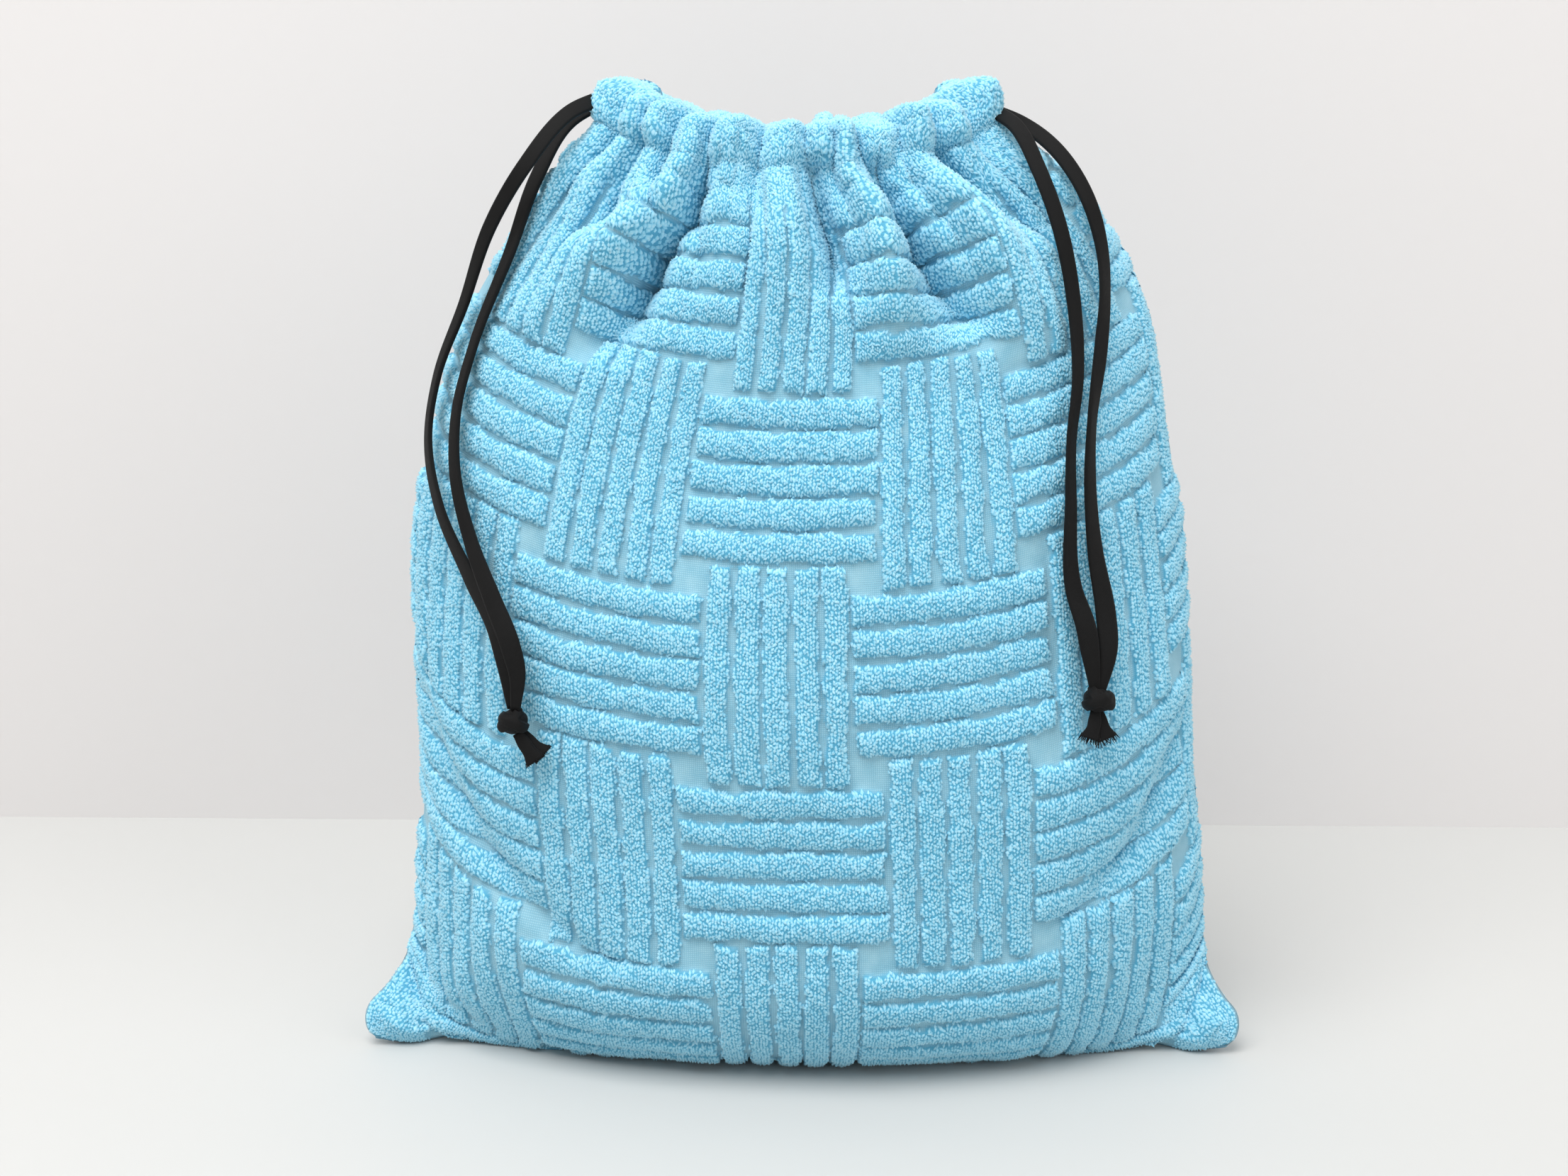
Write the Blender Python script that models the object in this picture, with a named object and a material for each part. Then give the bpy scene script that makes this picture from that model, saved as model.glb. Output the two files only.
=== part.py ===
# Drawstring pouch of towelling: one cloth folded at the bottom, sewn up both sides and
# gathered on two drawcords, each closed by a knot at its own side.
# Metres, +Z up, front towards -Y. The cloth is laid out flat, its raised bars are drawn on
# it there, and every point of it is then carried onto the filled, gathered form.

import math

import bmesh
import bpy
import numpy as np
from mathutils import Matrix, Vector
from mathutils.geometry import delaunay_2d_cdt

# Cloth, laid flat
CLOTH_WIDTH = 0.330        # one panel, from side seam to side seam
CLOTH_HEIGHT = 0.378       # from the bottom fold to the rim
WALL = 0.0028              # woven ground with the loops on its inner face
RELIEF = 0.0020            # how far a bar of loops stands over the ground

# Filled form
BODY_HALF_WIDTH = 0.1365
BODY_HALF_DEPTH = 0.0665
RIM_HEIGHT = 0.342         # at the side seams, where the rim is highest
BASE_FLAT = 0.020          # half depth of the strip that rests on the table
TABLE_CONTACT = 0.0001     # cloth closer to the table than this lies flat on it
EAR_FILL = 0.034           # cloth pressed together inside each bottom corner
EAR_FORWARD = 0.013        # the corners lie forward of the middle
SHOULDER_LEAN = 0.005      # the filling pushes the right shoulder out further
FOOT_LEAN = 0.004          # and the foot of the bag settles to the same side

# Basket pattern of the bars
CELL_WIDTH = 0.0605
CELL_HEIGHT = 0.065
UPRIGHT_BLOCK_WIDTH = 0.050
LEVEL_BLOCK_HEIGHT = 0.055
BARS_PER_BLOCK = 5
BAR_SLOPE = 0.0015         # half of the groove between two bars
PATTERN_SHIFT = (-0.006, 0.002)
SEAM_MARGIN = 0.004        # plain cloth along each side seam
BARS_FROM, BARS_TO = 0.030, 0.351

# Casing and drawcords
CORD_DIAMETER = 0.0042     # the flat tape bunches to this in the channel
CORD_GAP = 0.0012
CORD_CLEARANCE = 0.0008
NECK_RING = (0.0535, 0.0215)  # half width and half depth of the channel's centre line
CASING_FROM = 0.3635       # stitched line under the channel, on the flat cloth
PLEAT_DEPTH = 0.0058
PLEATS_FROM = 0.300
LINING_PLEAT = 0.0022
FRONT_LOBES = (16, 16, 19, 15, 16, 19, 16, 14, 16, 16, 17, 20)
BACK_LOBES = (18, 15, 17, 16, 14, 18, 17, 15, 19, 15, 16, 18)
STEPS_PER_LOBE = {-1: 4, 1: 6}  # by panel, back and front
SLOT_HALF_WIDTH = 0.0095
SLOT_DROP = 0.0030         # the channel dips away from the seams
CHANNEL_STEPS = 14         # round each panel

# Stations up the bag: share of the cloth's height, share of the way from body to neck
# (below 0 in the corners, where the cloth flares out), height of the side seam as a share
# of the rim's, then the same share for the depth, and how sharp the section is at the
# seam (0.5 is an ellipse, 1 a lens).
STATIONS = (
    (0.000, -0.335, 0.009, None, 0.80),
    (0.053, -0.226, 0.046, None, 0.74),
    (0.132, -0.120, 0.122, None, 0.66),
    (0.244, -0.050, 0.245, 0.00, 0.58),
    (0.304, -0.018, 0.312, -0.012, 0.54),
    (0.423, 0.000, 0.444, -0.012, 0.50),
    (0.529, 0.027, 0.556, 0.035, 0.50),
    (0.635, 0.120, 0.661, 0.150, 0.50),
    (0.741, 0.253, 0.776, 0.338, 0.50),
    (0.833, 0.445, 0.851, 0.550, 0.50),
    (0.913, 0.726, 0.920, 0.763, 0.50),
    (0.960, 0.950, 0.956, 0.950, 0.50),
    (1.000, 1.000, 1.000, 1.000, 0.50),
)

# Folds that the gathering draws down the cloth, on the flat cloth in metres: for each
# point up the fold, its height, its place across, its depth (outwards is positive) and
# its half width.
FRONT_FOLDS = (
    ((0.322, -0.120, 0.000, 0.012), (0.340, -0.112, -0.003, 0.012),
     (0.352, -0.111, -0.002, 0.011)),
    ((0.288, -0.119, 0.000, 0.014), (0.312, -0.110, 0.004, 0.014),
     (0.327, -0.104, 0.005, 0.013), (0.340, -0.089, 0.004, 0.012),
     (0.352, -0.080, 0.002, 0.011)),
    ((0.290, -0.089, 0.000, 0.013), (0.306, -0.084, -0.005, 0.013),
     (0.322, -0.080, -0.009, 0.013), (0.334, -0.077, -0.009, 0.012),
     (0.344, -0.068, -0.006, 0.011), (0.352, -0.064, -0.003, 0.011)),
    ((0.285, -0.010, 0.000, 0.024), (0.320, -0.012, 0.003, 0.023),
     (0.345, -0.012, 0.003, 0.018)),
    ((0.324, 0.012, 0.000, 0.011), (0.341, 0.012, -0.006, 0.011),
     (0.352, 0.015, -0.004, 0.010)),
    ((0.303, 0.036, 0.000, 0.012), (0.321, 0.036, 0.004, 0.012),
     (0.334, 0.036, 0.005, 0.012), (0.352, 0.036, 0.002, 0.011)),
    ((0.300, 0.074, 0.000, 0.013), (0.320, 0.063, -0.006, 0.012),
     (0.337, 0.058, -0.008, 0.012), (0.352, 0.058, -0.004, 0.011)),
    ((0.286, 0.092, 0.000, 0.015), (0.309, 0.095, 0.004, 0.015),
     (0.333, 0.091, 0.005, 0.014), (0.352, 0.086, 0.002, 0.012)),
    ((0.324, 0.124, 0.000, 0.012), (0.340, 0.114, -0.005, 0.012),
     (0.352, 0.110, -0.003, 0.011)),
)
BACK_FOLDS = (
    ((0.240, -0.080, 0.000, 0.014), (0.295, -0.070, -0.009, 0.013),
     (0.330, -0.058, -0.010, 0.011), (0.352, -0.050, -0.005, 0.009)),
    ((0.250, 0.010, 0.000, 0.014), (0.300, 0.006, -0.009, 0.013),
     (0.335, 0.004, -0.009, 0.011), (0.352, 0.004, -0.004, 0.009)),
    ((0.245, 0.090, 0.000, 0.014), (0.300, 0.078, -0.009, 0.013),
     (0.335, 0.062, -0.010, 0.011), (0.352, 0.055, -0.005, 0.009)),
)

CHANNEL_HALF_DEPTH = CORD_DIAMETER / 2 + CORD_CLEARANCE
CHANNEL_HALF_HEIGHT = CORD_DIAMETER + CORD_GAP / 2 + CORD_CLEARANCE
CASING_WALL = 2 * (WALL + CHANNEL_HALF_DEPTH)
NECK_HALF_WIDTH = NECK_RING[0] + CHANNEL_HALF_DEPTH + WALL
NECK_HALF_DEPTH = NECK_RING[1] + CHANNEL_HALF_DEPTH + WALL
CHANNEL_AT = (CASING_FROM + CLOTH_HEIGHT) / 2
LEVEL_BLOCK_WIDTH = 2 * CELL_WIDTH - UPRIGHT_BLOCK_WIDTH
UPRIGHT_BLOCK_HEIGHT = 2 * CELL_HEIGHT - LEVEL_BLOCK_HEIGHT
HALF = CLOTH_WIDTH / 2


def smooth_through(knots, values, at):
    """A smooth curve through the values, read at the given places."""
    knots, values = np.array(knots, float), np.array(values, float)
    slopes = np.gradient(values, knots)
    at = np.clip(at, knots[0], knots[-1])
    i = np.clip(np.searchsorted(knots, at, side="right") - 1, 0, len(knots) - 2)
    h = knots[i + 1] - knots[i]
    u = (at - knots[i]) / h
    return (
        (1 + 2 * u) * (1 - u) ** 2 * values[i]
        + u * (1 - u) ** 2 * h * slopes[i]
        + u * u * (3 - 2 * u) * values[i + 1]
        + u * u * (u - 1) * h * slopes[i + 1]
    )


def smooth_step(x, low, high):
    u = np.clip((x - low) / (high - low), 0, 1)
    return u * u * (3 - 2 * u)


class Form:
    """The filled pouch: carries a point of the flat cloth to its place in space.

    thickness 0 gives the outer face of the ground cloth and 1 its inner face.
    """

    ROWS = 253
    COLUMNS = 221

    def __init__(self, inner):
        self.inner = inner
        self.up = np.linspace(0, CLOTH_HEIGHT, self.ROWS)
        self.across = np.linspace(-1, 1, self.COLUMNS)
        base = self.smooth_form()
        base[..., 0] += self.lean()[:, None]
        self.base = {side: base * (1, side, 1) for side in (-1, 1)}
        self.sides = {}
        for side, folds, lobes in (
            (-1, FRONT_FOLDS, FRONT_LOBES),
            (1, BACK_FOLDS, BACK_LOBES),
        ):
            points = self.base[side]
            out = self.normals(points, side)
            points = points + out * self.draw(folds, lobes)[..., None]
            forward = EAR_FORWARD * (1 - smooth_step(self.up, 0.0, 0.07))[:, None]
            points[..., 1] -= forward * np.abs(points[..., 0] / BODY_HALF_WIDTH) ** 3
            self.sides[side] = points, self.normals(points, side)

    def lean(self):
        rise = smooth_step(self.up, 0.6 * CLOTH_HEIGHT, 0.85 * CLOTH_HEIGHT)
        shoulder = rise * smooth_step(-self.up, -CASING_FROM, -0.88 * CLOTH_HEIGHT)
        foot = 1 - smooth_step(self.up, 0.2 * CLOTH_HEIGHT, 0.55 * CLOTH_HEIGHT)
        foot *= 0.35 + 0.65 * smooth_step(self.up, 0.0, 0.15 * CLOTH_HEIGHT)
        return SHOULDER_LEAN * shoulder + FOOT_LEAN * foot

    def profile(self):
        share = [s[0] for s in STATIONS]
        u = self.up / CLOTH_HEIGHT
        mix = smooth_through(share, [s[1] for s in STATIONS], u)
        half_width = BODY_HALF_WIDTH + (NECK_HALF_WIDTH - BODY_HALF_WIDTH) * mix
        seam_height = RIM_HEIGHT * smooth_through(share, [s[2] for s in STATIONS], u)
        sharp = smooth_through(share, [s[4] for s in STATIONS], u)

        bend = BODY_HALF_DEPTH - BASE_FLAT
        turned = BASE_FLAT + bend * math.pi / 2
        upper = [s for s in STATIONS if s[3] is not None and s[0] * CLOTH_HEIGHT > turned]
        mix = smooth_through(
            [turned / CLOTH_HEIGHT] + [s[0] for s in upper], [0.0] + [s[3] for s in upper], u
        )
        angle = np.clip((self.up - BASE_FLAT) / bend, 0, math.pi / 2)
        half_depth = np.where(
            self.up < turned,
            np.minimum(self.up, BASE_FLAT) + bend * np.sin(angle),
            BODY_HALF_DEPTH + (NECK_HALF_DEPTH - BODY_HALF_DEPTH) * mix,
        )
        rise = np.sqrt(np.maximum(0, 1 - np.gradient(half_depth, self.up) ** 2))
        rise[self.up < BASE_FLAT] = 0
        step = self.up[1] - self.up[0]
        middle_height = np.concatenate([[0], np.cumsum((rise[1:] + rise[:-1]) / 2) * step])
        return half_width, seam_height, half_depth, middle_height, sharp

    def smooth_form(self):
        """The form without folds, as a grid of (x, half depth, z)."""
        half_width, seam_height, half_depth, middle_height, sharp = self.profile()
        if self.inner:
            wall = WALL + (CASING_WALL - WALL) * smooth_step(
                self.up, CASING_FROM - 0.006, CASING_FROM
            )
            lean = np.gradient(half_depth, self.up)
            rise = np.gradient(middle_height, self.up)
            corner = np.clip(1 - self.up / 0.092, 0, 1) ** 2
            half_depth = half_depth - wall * rise
            middle_height = middle_height + wall * lean * smooth_step(-self.up, -0.36, -0.30)
            half_width = half_width - wall - EAR_FILL * corner
            seam_height = seam_height + WALL * np.clip(1 - self.up / 0.05, 0, 1)
        angle = np.linspace(-math.pi / 2, math.pi / 2, 241)
        grid = np.zeros((self.ROWS, self.COLUMNS, 3))
        for i in range(self.ROWS):
            x = half_width[i] * np.sin(angle)
            y = half_depth[i] * np.cos(angle).clip(0) ** (2 * sharp[i])
            run = np.concatenate([[0], np.cumsum(np.hypot(np.diff(x), np.diff(y)))])
            place = 2 * run / run[-1] - 1
            level = 1 - np.abs(self.across) ** (2 + 5 * (1 - self.up[i] / CLOTH_HEIGHT) ** 3)
            grid[i, :, 0] = np.interp(self.across, place, x)
            grid[i, :, 1] = np.interp(self.across, place, y)
            grid[i, :, 2] = seam_height[i] + (middle_height[i] - seam_height[i]) * level
        grid[:, (0, -1), 1] = 0
        return grid

    def normals(self, points, side):
        up = np.gradient(points, axis=0)
        along = np.gradient(points, axis=1)
        out = np.cross(along, up) * (-side)
        out[:, (0, -1), 1] = 0
        out[0] = out[1]
        out[0, :, 1] = 0
        return out / np.maximum(np.linalg.norm(out, axis=2, keepdims=True), 1e-12)

    def draw(self, folds, lobes):
        """How far the gathering moves each point of the grid outwards."""
        moved = np.zeros((self.ROWS, self.COLUMNS))
        s = self.across * HALF
        for fold in folds:
            t = [p[0] for p in fold]
            middle, depth, width = (
                smooth_through(t, [p[k] for p in fold], self.up)[:, None] for k in (1, 2, 3)
            )
            seen = smooth_step(self.up, t[0], t[0] + 0.01) * smooth_step(
                -self.up, -t[-1] - 0.014, -t[-1]
            )
            moved += seen[:, None] * depth * np.exp(-(((s - middle) / width) ** 2))
        moved *= smooth_step(-np.abs(self.across), -1.0, -0.85)
        drawn = smooth_step(self.up, PLEATS_FROM, CASING_FROM - 0.006)[:, None]
        wave = pleat_wave(self.across, lobes)
        if not self.inner:
            puff = smooth_step(self.up, CASING_FROM, CHANNEL_AT) - 0.6 * smooth_step(
                self.up, CLOTH_HEIGHT - 0.006, CLOTH_HEIGHT
            )
            return moved + drawn * wave * (PLEAT_DEPTH + 0.0014 * puff[:, None])
        below = 1 - smooth_step(self.up, CASING_FROM - 0.012, CASING_FROM - 0.004)[:, None]
        inside = (LINING_PLEAT * (wave - 1)) * (1 - below)
        return moved + drawn * wave * PLEAT_DEPTH * below + inside

    def weights(self, s, t):
        i = min(abs(t) / CLOTH_HEIGHT, 1) * (self.ROWS - 1)
        j = (max(-1.0, min(1.0, s / HALF)) + 1) / 2 * (self.COLUMNS - 1)
        i0, j0 = min(int(i), self.ROWS - 2), min(int(j), self.COLUMNS - 2)
        fi, fj = i - i0, j - j0
        return (
            ((i0, j0), (1 - fi) * (1 - fj)),
            ((i0, j0 + 1), (1 - fi) * fj),
            ((i0 + 1, j0), fi * (1 - fj)),
            ((i0 + 1, j0 + 1), fi * fj),
        )

    def place(self, s, t, lift=0.0):
        points, out = self.sides[-1 if t >= 0 else 1]
        weights = self.weights(s, t)
        at = sum(w * points[c] for c, w in weights)
        if lift:
            normal = sum(w * out[c] for c, w in weights)
            at = at + normal / np.linalg.norm(normal) * lift
        return Vector((at[0], at[1], at[2] if at[2] > TABLE_CONTACT else 0.0))

    def place_unfolded(self, s, t):
        points = self.base[-1 if t >= 0 else 1]
        return Vector(sum(w * points[c] for c, w in self.weights(s, t)))


def lobe_edges(lobes):
    return np.concatenate([[0], np.cumsum(lobes)]) / sum(lobes) * 2 - 1


def pleat_wave(across, lobes):
    """0 between two lobes of the gathered neck and 1 on the crest of each."""
    phase = np.interp(across, lobe_edges(lobes), np.arange(len(lobes) + 1))
    return (1 - np.cos(2 * math.pi * phase)) / 2


def lobe_columns(lobes, steps):
    """Places across a panel that divide every lobe into equal steps."""
    phase = np.arange(len(lobes) * steps + 1) / steps
    edges = lobe_edges(lobes)
    return [float(q) * HALF for q in np.interp(phase, np.arange(len(edges)), edges)]


class Block:
    """One block of the basket pattern on the flat cloth, upright or level bars."""

    def __init__(self, column, row, side):
        self.upright = (row + column) % 2 == 1
        size = (
            (UPRIGHT_BLOCK_WIDTH, UPRIGHT_BLOCK_HEIGHT)
            if self.upright
            else (LEVEL_BLOCK_WIDTH, LEVEL_BLOCK_HEIGHT)
        )
        middle = (
            PATTERN_SHIFT[0] + column * CELL_WIDTH,
            PATTERN_SHIFT[1] + row * CELL_HEIGHT,
        )
        limits = (
            (SEAM_MARGIN - HALF, HALF - SEAM_MARGIN),
            (BARS_FROM, BARS_TO) if side < 0 else (-BARS_TO, -BARS_FROM),
        )
        self.full = [(m - d / 2, m + d / 2) for m, d in zip(middle, size)]
        self.span = [
            (max(lo, limit[0]), min(hi, limit[1]))
            for (lo, hi), limit in zip(self.full, limits)
        ]
        self.across = 0 if self.upright else 1
        self.pitch = size[self.across] / BARS_PER_BLOCK

    def is_on_cloth(self):
        return all(hi - lo > 3 * BAR_SLOPE for lo, hi in self.span)

    def lines(self):
        """Runs of points: the grooves, and the two upper edges of each bar."""
        across, along = self.across, 1 - self.across
        low, high = self.span[across]
        ends = self.span[along]
        upper_ends = (ends[0] + BAR_SLOPE, ends[1] - BAR_SLOPE)
        start = self.full[across][0]
        places = [(low, ends), (high, ends)]
        for k in range(BARS_PER_BLOCK + 1):
            groove = start + k * self.pitch
            if low < groove < high:
                places.append((groove, ends))
            bar_low = max(groove, low) + BAR_SLOPE
            bar_high = min(groove + self.pitch, high) - BAR_SLOPE
            if k < BARS_PER_BLOCK and bar_high - bar_low > BAR_SLOPE:
                places += [(bar_low, upper_ends), (bar_high, upper_ends)]
        border = {low, high}
        runs = []
        for place, (first, last) in places:
            plain = place in border and not self.is_free(place)
            stops = [first, last] if plain else self.stops(first, last)
            runs.append([(place, at) if self.upright else (at, place) for at in stops])
        return runs

    def is_free(self, place):
        """Whether no other block's grooves end on this side of the block."""
        return not self.upright and (
            abs(place) in (BARS_FROM, BARS_TO) or abs(place) > PLEATS_FROM + 0.02
        )

    def stops(self, first, last):
        """Where a line along a bar bends with the cloth: oftener where that is folded."""
        height = abs(sum(self.span[1])) / 2
        if not self.upright and height > PLEATS_FROM - 0.010:
            lobes = FRONT_LOBES if self.span[1][0] > 0 else BACK_LOBES
            columns = lobe_columns(lobes, 4)
            return [first, *(s for s in columns if first + 0.0035 < s < last - 0.0035), last]
        outer = abs(sum(self.span[0])) / 2 > 1.5 * CELL_WIDTH
        if self.upright:
            reach = 0.026 if height > 0.28 else 0.039 if height > 0.1 else 0.019
        elif height > 0.23:
            reach = 0.018
        else:
            reach = 0.024 if outer else 0.036
        steps = max(1, math.ceil((last - first) / reach))
        return [first + (last - first) * k / steps for k in range(steps + 1)]

    def relief(self, s, t):
        point = (s, t)
        (s0, s1), (t0, t1) = self.span
        edge = min(s - s0, s1 - s, t - t0, t1 - t)
        if edge < -1e-7:
            return None
        phase = (point[self.across] - self.full[self.across][0]) % self.pitch
        groove = min(phase, self.pitch - phase)
        crushed = 0.5 * float(smooth_step(abs(t), BARS_TO - 0.030, BARS_TO))
        return RELIEF * (1 - crushed) * max(0.0, min(1.0, edge / BAR_SLOPE, groove / BAR_SLOPE))


def pattern():
    columns = range(-3, 4)
    rows = range(-6, 7)
    blocks = []
    for side in (-1, 1):
        for row in rows:
            for column in columns:
                block = Block(column, row, side)
                if block.is_on_cloth():
                    blocks.append(block)
    return blocks


def relief_at(blocks, s, t):
    found = [h for h in (b.relief(s, t) for b in blocks) if h is not None]
    return max(found, default=0.0)


def triangulate(points, runs):
    """Joins points and unbroken runs of points on the flat cloth into triangles."""
    places = [Vector(p) for p in points]
    edges = []
    for run in runs:
        first = len(places)
        places += [Vector(p) for p in run]
        edges += [(k, k + 1) for k in range(first, len(places) - 1)]
    flat, _, faces, *_ = delaunay_2d_cdt(places, edges, [], 0, 1e-6)
    return [tuple(p) for p in flat], faces


# Heights of the rows of points on the inner face and along the side seams, each with
# the number of steps across a panel, which follow the lobes where it is pleated.
INNER_ROWS = (
    (0.000, 12), (0.012, 12), (0.025, 12), (0.042, 12), (0.060, 12), (0.080, 12),
    (0.112, 12), (0.180, 12), (0.222, 16), (0.250, 24), (0.270, 28), (0.288, 32),
    (0.304, 0), (0.318, 0), (0.331, 0), (0.343, 0),
)
CORNER_POINT = (0.010, 0.005)  # a point this far in from each bottom corner


def neck_rows():
    casing = CLOTH_HEIGHT - CASING_FROM
    return [
        BARS_TO + 0.0015,
        CASING_FROM,
        CASING_FROM + 0.33 * casing,
        CLOTH_HEIGHT - 0.004,
        CLOTH_HEIGHT,
    ]


def seam_points():
    """Points that front and back share, and one inside each bottom corner."""
    points = [(x, t) for h, _ in INNER_ROWS for x in (-HALF, HALF) for t in {h, -h}]
    inset, height = CORNER_POINT
    return points + [(x, t) for x in (inset - HALF, HALF - inset) for t in (height, -height)]


def outer_face(blocks):
    runs = [run for block in blocks for run in block.lines()]
    points = seam_points()
    for t in (-BASE_FLAT, 0.0, BASE_FLAT):
        runs.append([(CLOTH_WIDTH * k / 9 - HALF, t) for k in range(1, 9)])
    for sign, lobes in ((1, FRONT_LOBES), (-1, BACK_LOBES)):
        columns = lobe_columns(lobes, STEPS_PER_LOBE[sign])
        for t in neck_rows():
            runs.append([(s, sign * t) for s in columns])
    return triangulate(points, runs)


def inner_face():
    points, runs = seam_points(), []
    for t, count in INNER_ROWS:
        if t > PLEATS_FROM:
            for sign, lobes in ((1, FRONT_LOBES), (-1, BACK_LOBES)):
                points += [(s, sign * t) for s in lobe_columns(lobes, 4)[1:-1]]
            continue
        for k in range(1, count):
            s = -HALF + CLOTH_WIDTH * k / count
            points += [(s, t), (s, -t)] if t else [(s, t)]
    for sign, lobes in ((1, FRONT_LOBES), (-1, BACK_LOBES)):
        columns = lobe_columns(lobes, STEPS_PER_LOBE[sign])
        for t in (CASING_FROM - 0.009, CASING_FROM, CLOTH_HEIGHT):
            runs.append([(s, sign * t) for s in columns])
    return triangulate(points, runs)


def add_face(bm, form, flat, faces, lift):
    verts = [bm.verts.new(form.place(s, t, lift(s, t))) for s, t in flat]
    for face in faces:
        bm.faces.new([verts[k] for k in face])
    rim = {}
    for sign in (1, -1):
        edge = [k for k, (s, t) in enumerate(flat) if abs(t - sign * CLOTH_HEIGHT) < 1e-6]
        rim[sign] = [verts[k] for k in sorted(edge, key=lambda k: flat[k][0])]
    return rim


def build_cloth(outer, inner):
    bm = bmesh.new()
    blocks = pattern()
    outer_rim = add_face(bm, outer, *outer_face(blocks), lambda s, t: relief_at(blocks, s, t))
    inner_rim = add_face(bm, inner, *inner_face(), lambda s, t: 0.0)
    for sign in (1, -1):
        out, ins = outer_rim[sign], inner_rim[sign]
        for k in range(len(out) - 1):
            bm.faces.new((out[k], out[k + 1], ins[k + 1], ins[k]))
    bmesh.ops.remove_doubles(bm, verts=bm.verts, dist=1e-6)
    bmesh.ops.dissolve_degenerate(bm, edges=bm.edges, dist=1e-6)
    bmesh.ops.triangulate(bm, faces=bm.faces)
    bmesh.ops.recalc_face_normals(bm, faces=bm.faces)
    return bm


def channel_line(outer, inner, count):
    """Points round the middle of the casing, from the left seam along the front."""
    line = []
    for sign in (1, -1):
        for k in range(count):
            q = -math.cos(math.pi * k / count)
            s = sign * q * HALF
            a = outer.place_unfolded(s, sign * CHANNEL_AT)
            b = inner.place_unfolded(s, sign * CHANNEL_AT)
            line.append((a + b) / 2)
    return line


def ring_solid(name, line, half_depth, half_height):
    """A closed ring with an upright rectangular section along a closed line."""
    bm = bmesh.new()
    rings = []
    count = len(line)
    for k, at in enumerate(line):
        along = line[(k + 1) % count] - line[k - 1]
        out = Vector((along.y, -along.x, 0)).normalized()
        rings.append(
            [
                bm.verts.new(at + out * (a * half_depth) + Vector((0, 0, b * half_height)))
                for a, b in ((1, -1), (1, 1), (-1, 1), (-1, -1))
            ]
        )
    for k, ring in enumerate(rings):
        after = rings[(k + 1) % count]
        for j in range(4):
            bm.faces.new((ring[j], ring[(j + 1) % 4], after[(j + 1) % 4], after[j]))
    bmesh.ops.recalc_face_normals(bm, faces=bm.faces)
    return finish_mesh(name, bm)


def box_solid(name, low, high):
    bm = bmesh.new()
    size = Vector(high) - Vector(low)
    place = Matrix.Translation((Vector(low) + Vector(high)) / 2) @ Matrix.Diagonal((*size, 1))
    bmesh.ops.create_cube(bm, size=1.0, matrix=place)
    return finish_mesh(name, bm)


def finish_mesh(name, bm):
    mesh = bpy.data.meshes.new(name)
    bm.to_mesh(mesh)
    bm.free()
    piece = bpy.data.objects.new(name, mesh)
    bpy.context.collection.objects.link(piece)
    return piece


def fabric(name, colour, roughness):
    material = bpy.data.materials.new(name)
    material.use_nodes = True
    shader = material.node_tree.nodes["Principled BSDF"]
    shader.inputs["Base Color"].default_value = (*colour, 1)
    shader.inputs["Roughness"].default_value = roughness
    shader.inputs["Metallic"].default_value = 0.0
    return material


def boolean(piece, tool, operation):
    modifier = piece.modifiers.new(tool.name, "BOOLEAN")
    modifier.operation = operation
    modifier.solver = "EXACT"
    modifier.object = tool
    tool.hide_render = True
    tool.display_type = "WIRE"


def build_pouch(outer, inner, towelling):
    pouch = finish_mesh("pouch_body", build_cloth(outer, inner))
    pouch.data.materials.append(towelling)
    line = channel_line(outer, inner, CHANNEL_STEPS)
    channel = ring_solid("channel", line, CHANNEL_HALF_DEPTH, CHANNEL_HALF_HEIGHT)
    for side, name in ((-1, "left_slot"), (1, "right_slot")):
        middle = line[0] if side < 0 else line[CHANNEL_STEPS]
        edge = side * (NECK_RING[0] - CHANNEL_HALF_DEPTH)
        reach = side * (NECK_HALF_WIDTH + 0.012)
        slot = box_solid(
            name,
            (min(edge, reach), -SLOT_HALF_WIDTH, middle.z - CHANNEL_HALF_HEIGHT - SLOT_DROP),
            (max(edge, reach), SLOT_HALF_WIDTH, middle.z + CHANNEL_HALF_HEIGHT),
        )
        boolean(channel, slot, "UNION")
    boolean(pouch, channel, "DIFFERENCE")
    return pouch


# Routes of the two hanging strands of each cord, from the slot to the knot, in metres.
LEFT_FRONT_ROUTE = (
    (-0.0655, -0.0045, 0.3375), (-0.0760, -0.0140, 0.3325), (-0.0905, -0.0240, 0.3150),
    (-0.1030, -0.0215, 0.2950), (-0.1130, -0.0190, 0.2690), (-0.1230, -0.0190, 0.2440),
    (-0.1260, -0.0225, 0.2250), (-0.1210, -0.0345, 0.2020), (-0.1115, -0.0445, 0.1800),
    (-0.1020, -0.0545, 0.1670), (-0.0980, -0.0575, 0.1575), (-0.0968, -0.0580, 0.1448),
)
LEFT_BACK_ROUTE = (
    (-0.0655, 0.0030, 0.3370), (-0.0770, -0.0020, 0.3300), (-0.0880, -0.0125, 0.3110),
    (-0.0965, -0.0200, 0.2870), (-0.1090, -0.0250, 0.2560), (-0.1150, -0.0295, 0.2330),
    (-0.1150, -0.0355, 0.2140), (-0.1090, -0.0440, 0.1920), (-0.1000, -0.0520, 0.1740),
    (-0.0925, -0.0595, 0.1610), (-0.0910, -0.0605, 0.1540), (-0.0908, -0.0605, 0.1448),
)
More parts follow.
